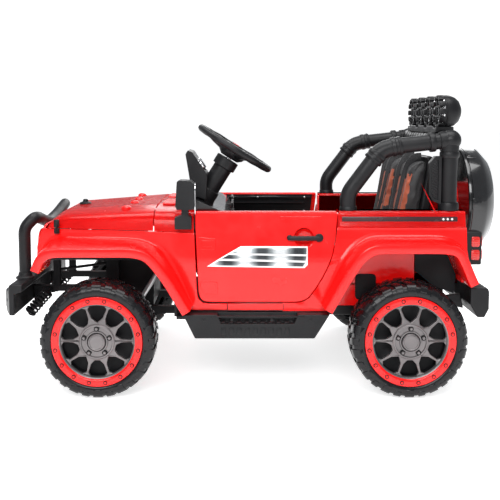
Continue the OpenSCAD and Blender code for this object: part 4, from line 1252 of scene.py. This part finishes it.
# ---------- bumpers, bars and steps ----------
for node in ("front_bumper", "rear_bumper"):
    soften(node, SATIN, width=3, steps=3)
soften("side_steps", SATIN, width=2, steps=2)
b = shape()
for i in range(9):
    x = -64 + 20 * i
    merge(b, rbox(x, x + 12, 298, 319, 180, 183.2, 1.4, 2))
    merge(b, rbox(x - 1, x + 11, 319.6, 323.4, 152, 170, 1.4, 2))
merge(b, rbox(-104, 130, 318, 323.2, 196, 200.4, 1.6, 2))
for x in (-118, -20, 80, 150):
    merge(b, screw(4.2), facing((0, 1, 0), (x, 321.8, 190)))
piece("step_treads_left", b, SATIN, mirror=True)
b = shape()
for y in (-265, -135, 135, 265):
    merge(b, screw(5), facing((1, 0, 0), (670.6, y, 228)) if abs(y) < 240 else
          facing((0.9, 0.43 if y > 0 else -0.43, 0), (659.5, y, 228)))
for y in (-80, 80):
    merge(b, lathe([(15, 0), (15, 4), (12, 7), (10, 4), (0, 4)], 28), facing((1, 0, 0), (670, y, 228)))
merge(b, rbox(668, 673, -200, 200, 240, 245, 2, 2))
piece("bumper_details", b, SATIN)
half = [(629, 200, 272), (629, 200, 406), (606, 192, 432), (602, 160, 430), (607, 75, 411)]
bull = half + [(611, 0, 399)] + [(x, -y, z) for x, y, z in reversed(half)]
b = tube(rounded(bull, 16, 6), 15.8, 28)
for y in (200, -200):
    merge(b, lathe([(15, 0), (25, 0), (25, 4), (22, 6), (19, 8), (17.4, 16), (15, 16)], 32, True),
          facing((0, 0, 1), (629, y, 272)))
piece("bull_bar_tube", b, SATIN, stands_for=["bull_bar"])

# Mirrors
soften("mirrors", SATIN, width=5, steps=3)
b = plate(soft_outline([(292, 456), (326, 456), (329, 470), (329, 524), (322, 535), (298, 535), (290, 524), (288, 470)],
                       8),
          0, 1.6, 0.6)
piece("mirror_glass_left", merge(shape(), b, Matrix(((0, 0, -1, 171.8), (1, 0, 0, 0), (0, 1, 0, 0), (0, 0, 0, 1)))),
      CHROME,
      slot="steel", mirror=True)

# ---------- dash, column and floor ----------
soften("dashboard", GLOSS, slot="gloss_black", width=4, steps=3)
soften("instrument_pod", SATIN, width=9, steps=4)
slant = Vector((-61, 0, 40)).normalized()
gauge = shape()
faces = shape()
for y, z in ((98, 0), (142, 0)):
    place = facing(slant, (163, y, 571))
    merge(gauge, lathe([(16, 0), (19, 0), (19, 3), (17.5, 4.4), (16, 3)], 40, True), place)
    merge(faces, lathe([(0, 1), (16.4, 1), (16.4, 0), (0, 0)], 40), place)
    merge(gauge, rbox(-0.8, 0.8, -2, 13, 1.2, 2.2, 0.3, 1), place @ Matrix.Rotation(math.radians(40), 4, "Z"))
piece("gauge_rings", gauge, CHROME, slot="steel")
piece("gauge_faces", faces, WHITE, slot="clear_lens")
b = shape()
for y in (-60, -20, 20):
    merge(b, rbox(78, 84, y - 12, y + 12, 440, 456, 3, 2))
    merge(b, lathe([(8, 0), (8, 5), (6, 7), (0, 7)], 24), facing((-1, 0, 0), (82, y, 422)))
for y in (-170, -130):
    merge(b, rbox(79, 84, y - 17, y + 17, 420, 460, 3, 2))
    for k in range(5):
        merge(b, rbox(77, 81, y - 15, y + 15, 425 + 7 * k, 428 + 7 * k, 1, 1))
piece("dash_controls", b, SATIN)
soften("gearboxes", DARK, width=4, steps=3)
soften("floor_pan", SATIN, width=2)
soften("pedal", SATIN, width=3, steps=3)
b = shape()
for i in range(6):
    merge(b, rbox(-100 + 40 * i, -80 + 40 * i, -190, 190, 185, 188.5, 1.6, 1))
piece("floor_ribs", b, SATIN)
soften("chassis_frame", DARK, width=1.6)
soften("front_axle", DARK, width=1.6)
paint("front_housing", DARK)
paint("rear_liners", DARK)

# Coil springs over their dampers
b = shape()
for s in (1, -1):
    for x, z in ((584, 222), (621, 180)):
        merge(b, tube([(x, 110 * s, z), (x, 170 * s, z)], 4.8, 14))
    a, c = Vector((580, 167 * s, 226)), Vector((628, 167 * s, 172))
    axis = c - a
    turn = facing(axis, a)
    coil = [turn @ Vector((14 * math.cos(t * 0.4), 14 * math.sin(t * 0.4), axis.length * t / 110)) for t in range(111)]
    merge(b, tube(coil, 2.6, 10))
    merge(b, lathe([(0, -2), (16, -2), (16, 2), (8, 4), (8, 34), (5, 36), (5, 66), (16, 67), (16, 72), (0, 72)], 24),
          turn)
piece("damper_springs", b, DARK, stands_for=["front_dampers"])

# ---------- printed stickers ----------


def sticker(name, outlines, mat, body, lift, slot, holes=()):
    """Thin prints on the side of the car, one panel for each outline: plain stripes and dots."""
    made = shape()
    for outline in outlines:
        merge(made, panel(outline, holes, 0.7, 0.12, outward=lift, zs=(330, 360)))
    return piece(name, made, mat, body, slot, mirror=True)


sticker("door_stripe_edge_left", [[(144, 320), (-104, 316), (-112, 324), (-112, 371), (58, 371), (90, 353),
                                   (114, 339)]],
        WHITE, "door_left", 0.7, "clear_lens")
stripes = [[(134, 323), (-100, 320), (-106, 330), (112, 335)], [(106, 340), (-107, 335), (-109, 346), (88, 350)],
           [(80, 354), (-109, 351), (-109, 367), (56, 367)]]
# silver stripes, their colour banded with a painted reflection
sticker("door_stripes_left", stripes, SILVER_PAINTED_REFLECTION, "door_left", 1.3, "steel")
sticker("quarter_stripe_left", [soft_outline([(-200, 433), (-494, 433), (-494, 445), (-200, 445)], 1, 1)], STRIPE,
        "chassis", 0.9, "black_plastic")
dots = [[(x, 442.4), (x - 3.4, 439), (x, 435.6), (x + 3.4, 439)] for x in (-458, -469, -480)]
sticker("quarter_dots_left", dots, WHITE, "chassis", 1.4, "clear_lens")
b = shape()
for x in (91, -51):
    merge(b, panel([(x - 0.7, 208), (x + 0.7, 208), (x + 0.7, 223), (x - 0.7, 223)], (), 0.6, 0.1, outward=0.25))
piece("sill_joints_left", b, DARK, mirror=True)

# Marker lamps under the front flares
b = shape()
for y in (330, 306):
    merge(b, lathe([(8, -2), (8, 3), (6, 6), (0, 7)], 24), facing((1, 0, 0), (556, y, 322)))
piece("marker_lamps_left", b, AMBER, slot="clear_lens", mirror=True)

# ---------- camera, light and floor ----------
camera = bpy.data.objects.new("camera", bpy.data.cameras.new("camera"))
camera.location = (0.0691, 2.2389, 0.6874)
camera.rotation_euler = (math.radians(85), 0, math.radians(180))
camera.data.lens = 56.0
camera.data.shift_x, camera.data.shift_y = 0.0275, -0.1216
camera.data.clip_end = 60
bpy.context.collection.objects.link(camera)
bpy.context.scene.camera = camera


def softbox(name, place, aim, width, height, power):
    light = bpy.data.lights.new(name, "AREA")
    light.shape = "RECTANGLE"
    light.size, light.size_y = width, height
    light.energy = power
    obj = bpy.data.objects.new(name, light)
    obj.location = place
    obj.rotation_euler = (Vector(aim) - Vector(place)).to_track_quat("-Z", "Y").to_euler()
    bpy.context.collection.objects.link(obj)


softbox("overhead", (0.1, 0.2, 2.6), (0, 0, 0.3), 3.0, 1.4, 70)
softbox("front_fill", (0.5, 2.6, 1.9), (0, 0, 0.3), 2.4, 1.0, 62)
softbox("back_fill", (-0.4, -2.4, 1.6), (0, 0, 0.3), 2.4, 1.4, 30)

world = bpy.data.worlds.new("studio")
world.use_nodes = True
tree = world.node_tree
seen, lit = tree.nodes["Background"], tree.nodes.new("ShaderNodeBackground")
seen.inputs["Strength"].default_value = 1.15
lit.inputs["Color"].default_value = (0.93, 0.96, 1.0, 1)
lit.inputs["Strength"].default_value = 0.38
seen.inputs["Color"].default_value = (1, 1, 1, 1)
path, pick = tree.nodes.new("ShaderNodeLightPath"), tree.nodes.new("ShaderNodeMixShader")
tree.links.new(path.outputs["Is Camera Ray"], pick.inputs["Fac"])
tree.links.new(lit.outputs["Background"], pick.inputs[1])
tree.links.new(seen.outputs["Background"], pick.inputs[2])
tree.links.new(pick.outputs["Shader"], tree.nodes["World Output"].inputs["Surface"])
bpy.context.scene.world = world
bpy.context.scene.view_settings.view_transform = "Standard"

mesh = bpy.data.meshes.new("floor")
mesh.from_pydata([(-60, -60, 0), (60, -60, 0), (60, 60, 0), (-60, 60, 0)], [], [(0, 1, 2, 3)])
floor = bpy.data.objects.new("floor", mesh)
n = Nodes("floor", Specular_IOR_Level=0.1, Emission_Strength=0.72, Emission_Color=(1, 1, 1, 1))
n.colour(n.ramp(n.noise(3, 2), [(0.3, (0.80, 0.80, 0.80)), (0.7, (0.83, 0.83, 0.83))]))
n.rough(n.spread(n.noise(8, 2), 0.55, 0.65))
mesh.materials.append(n.mat)
bpy.context.collection.objects.link(floor)
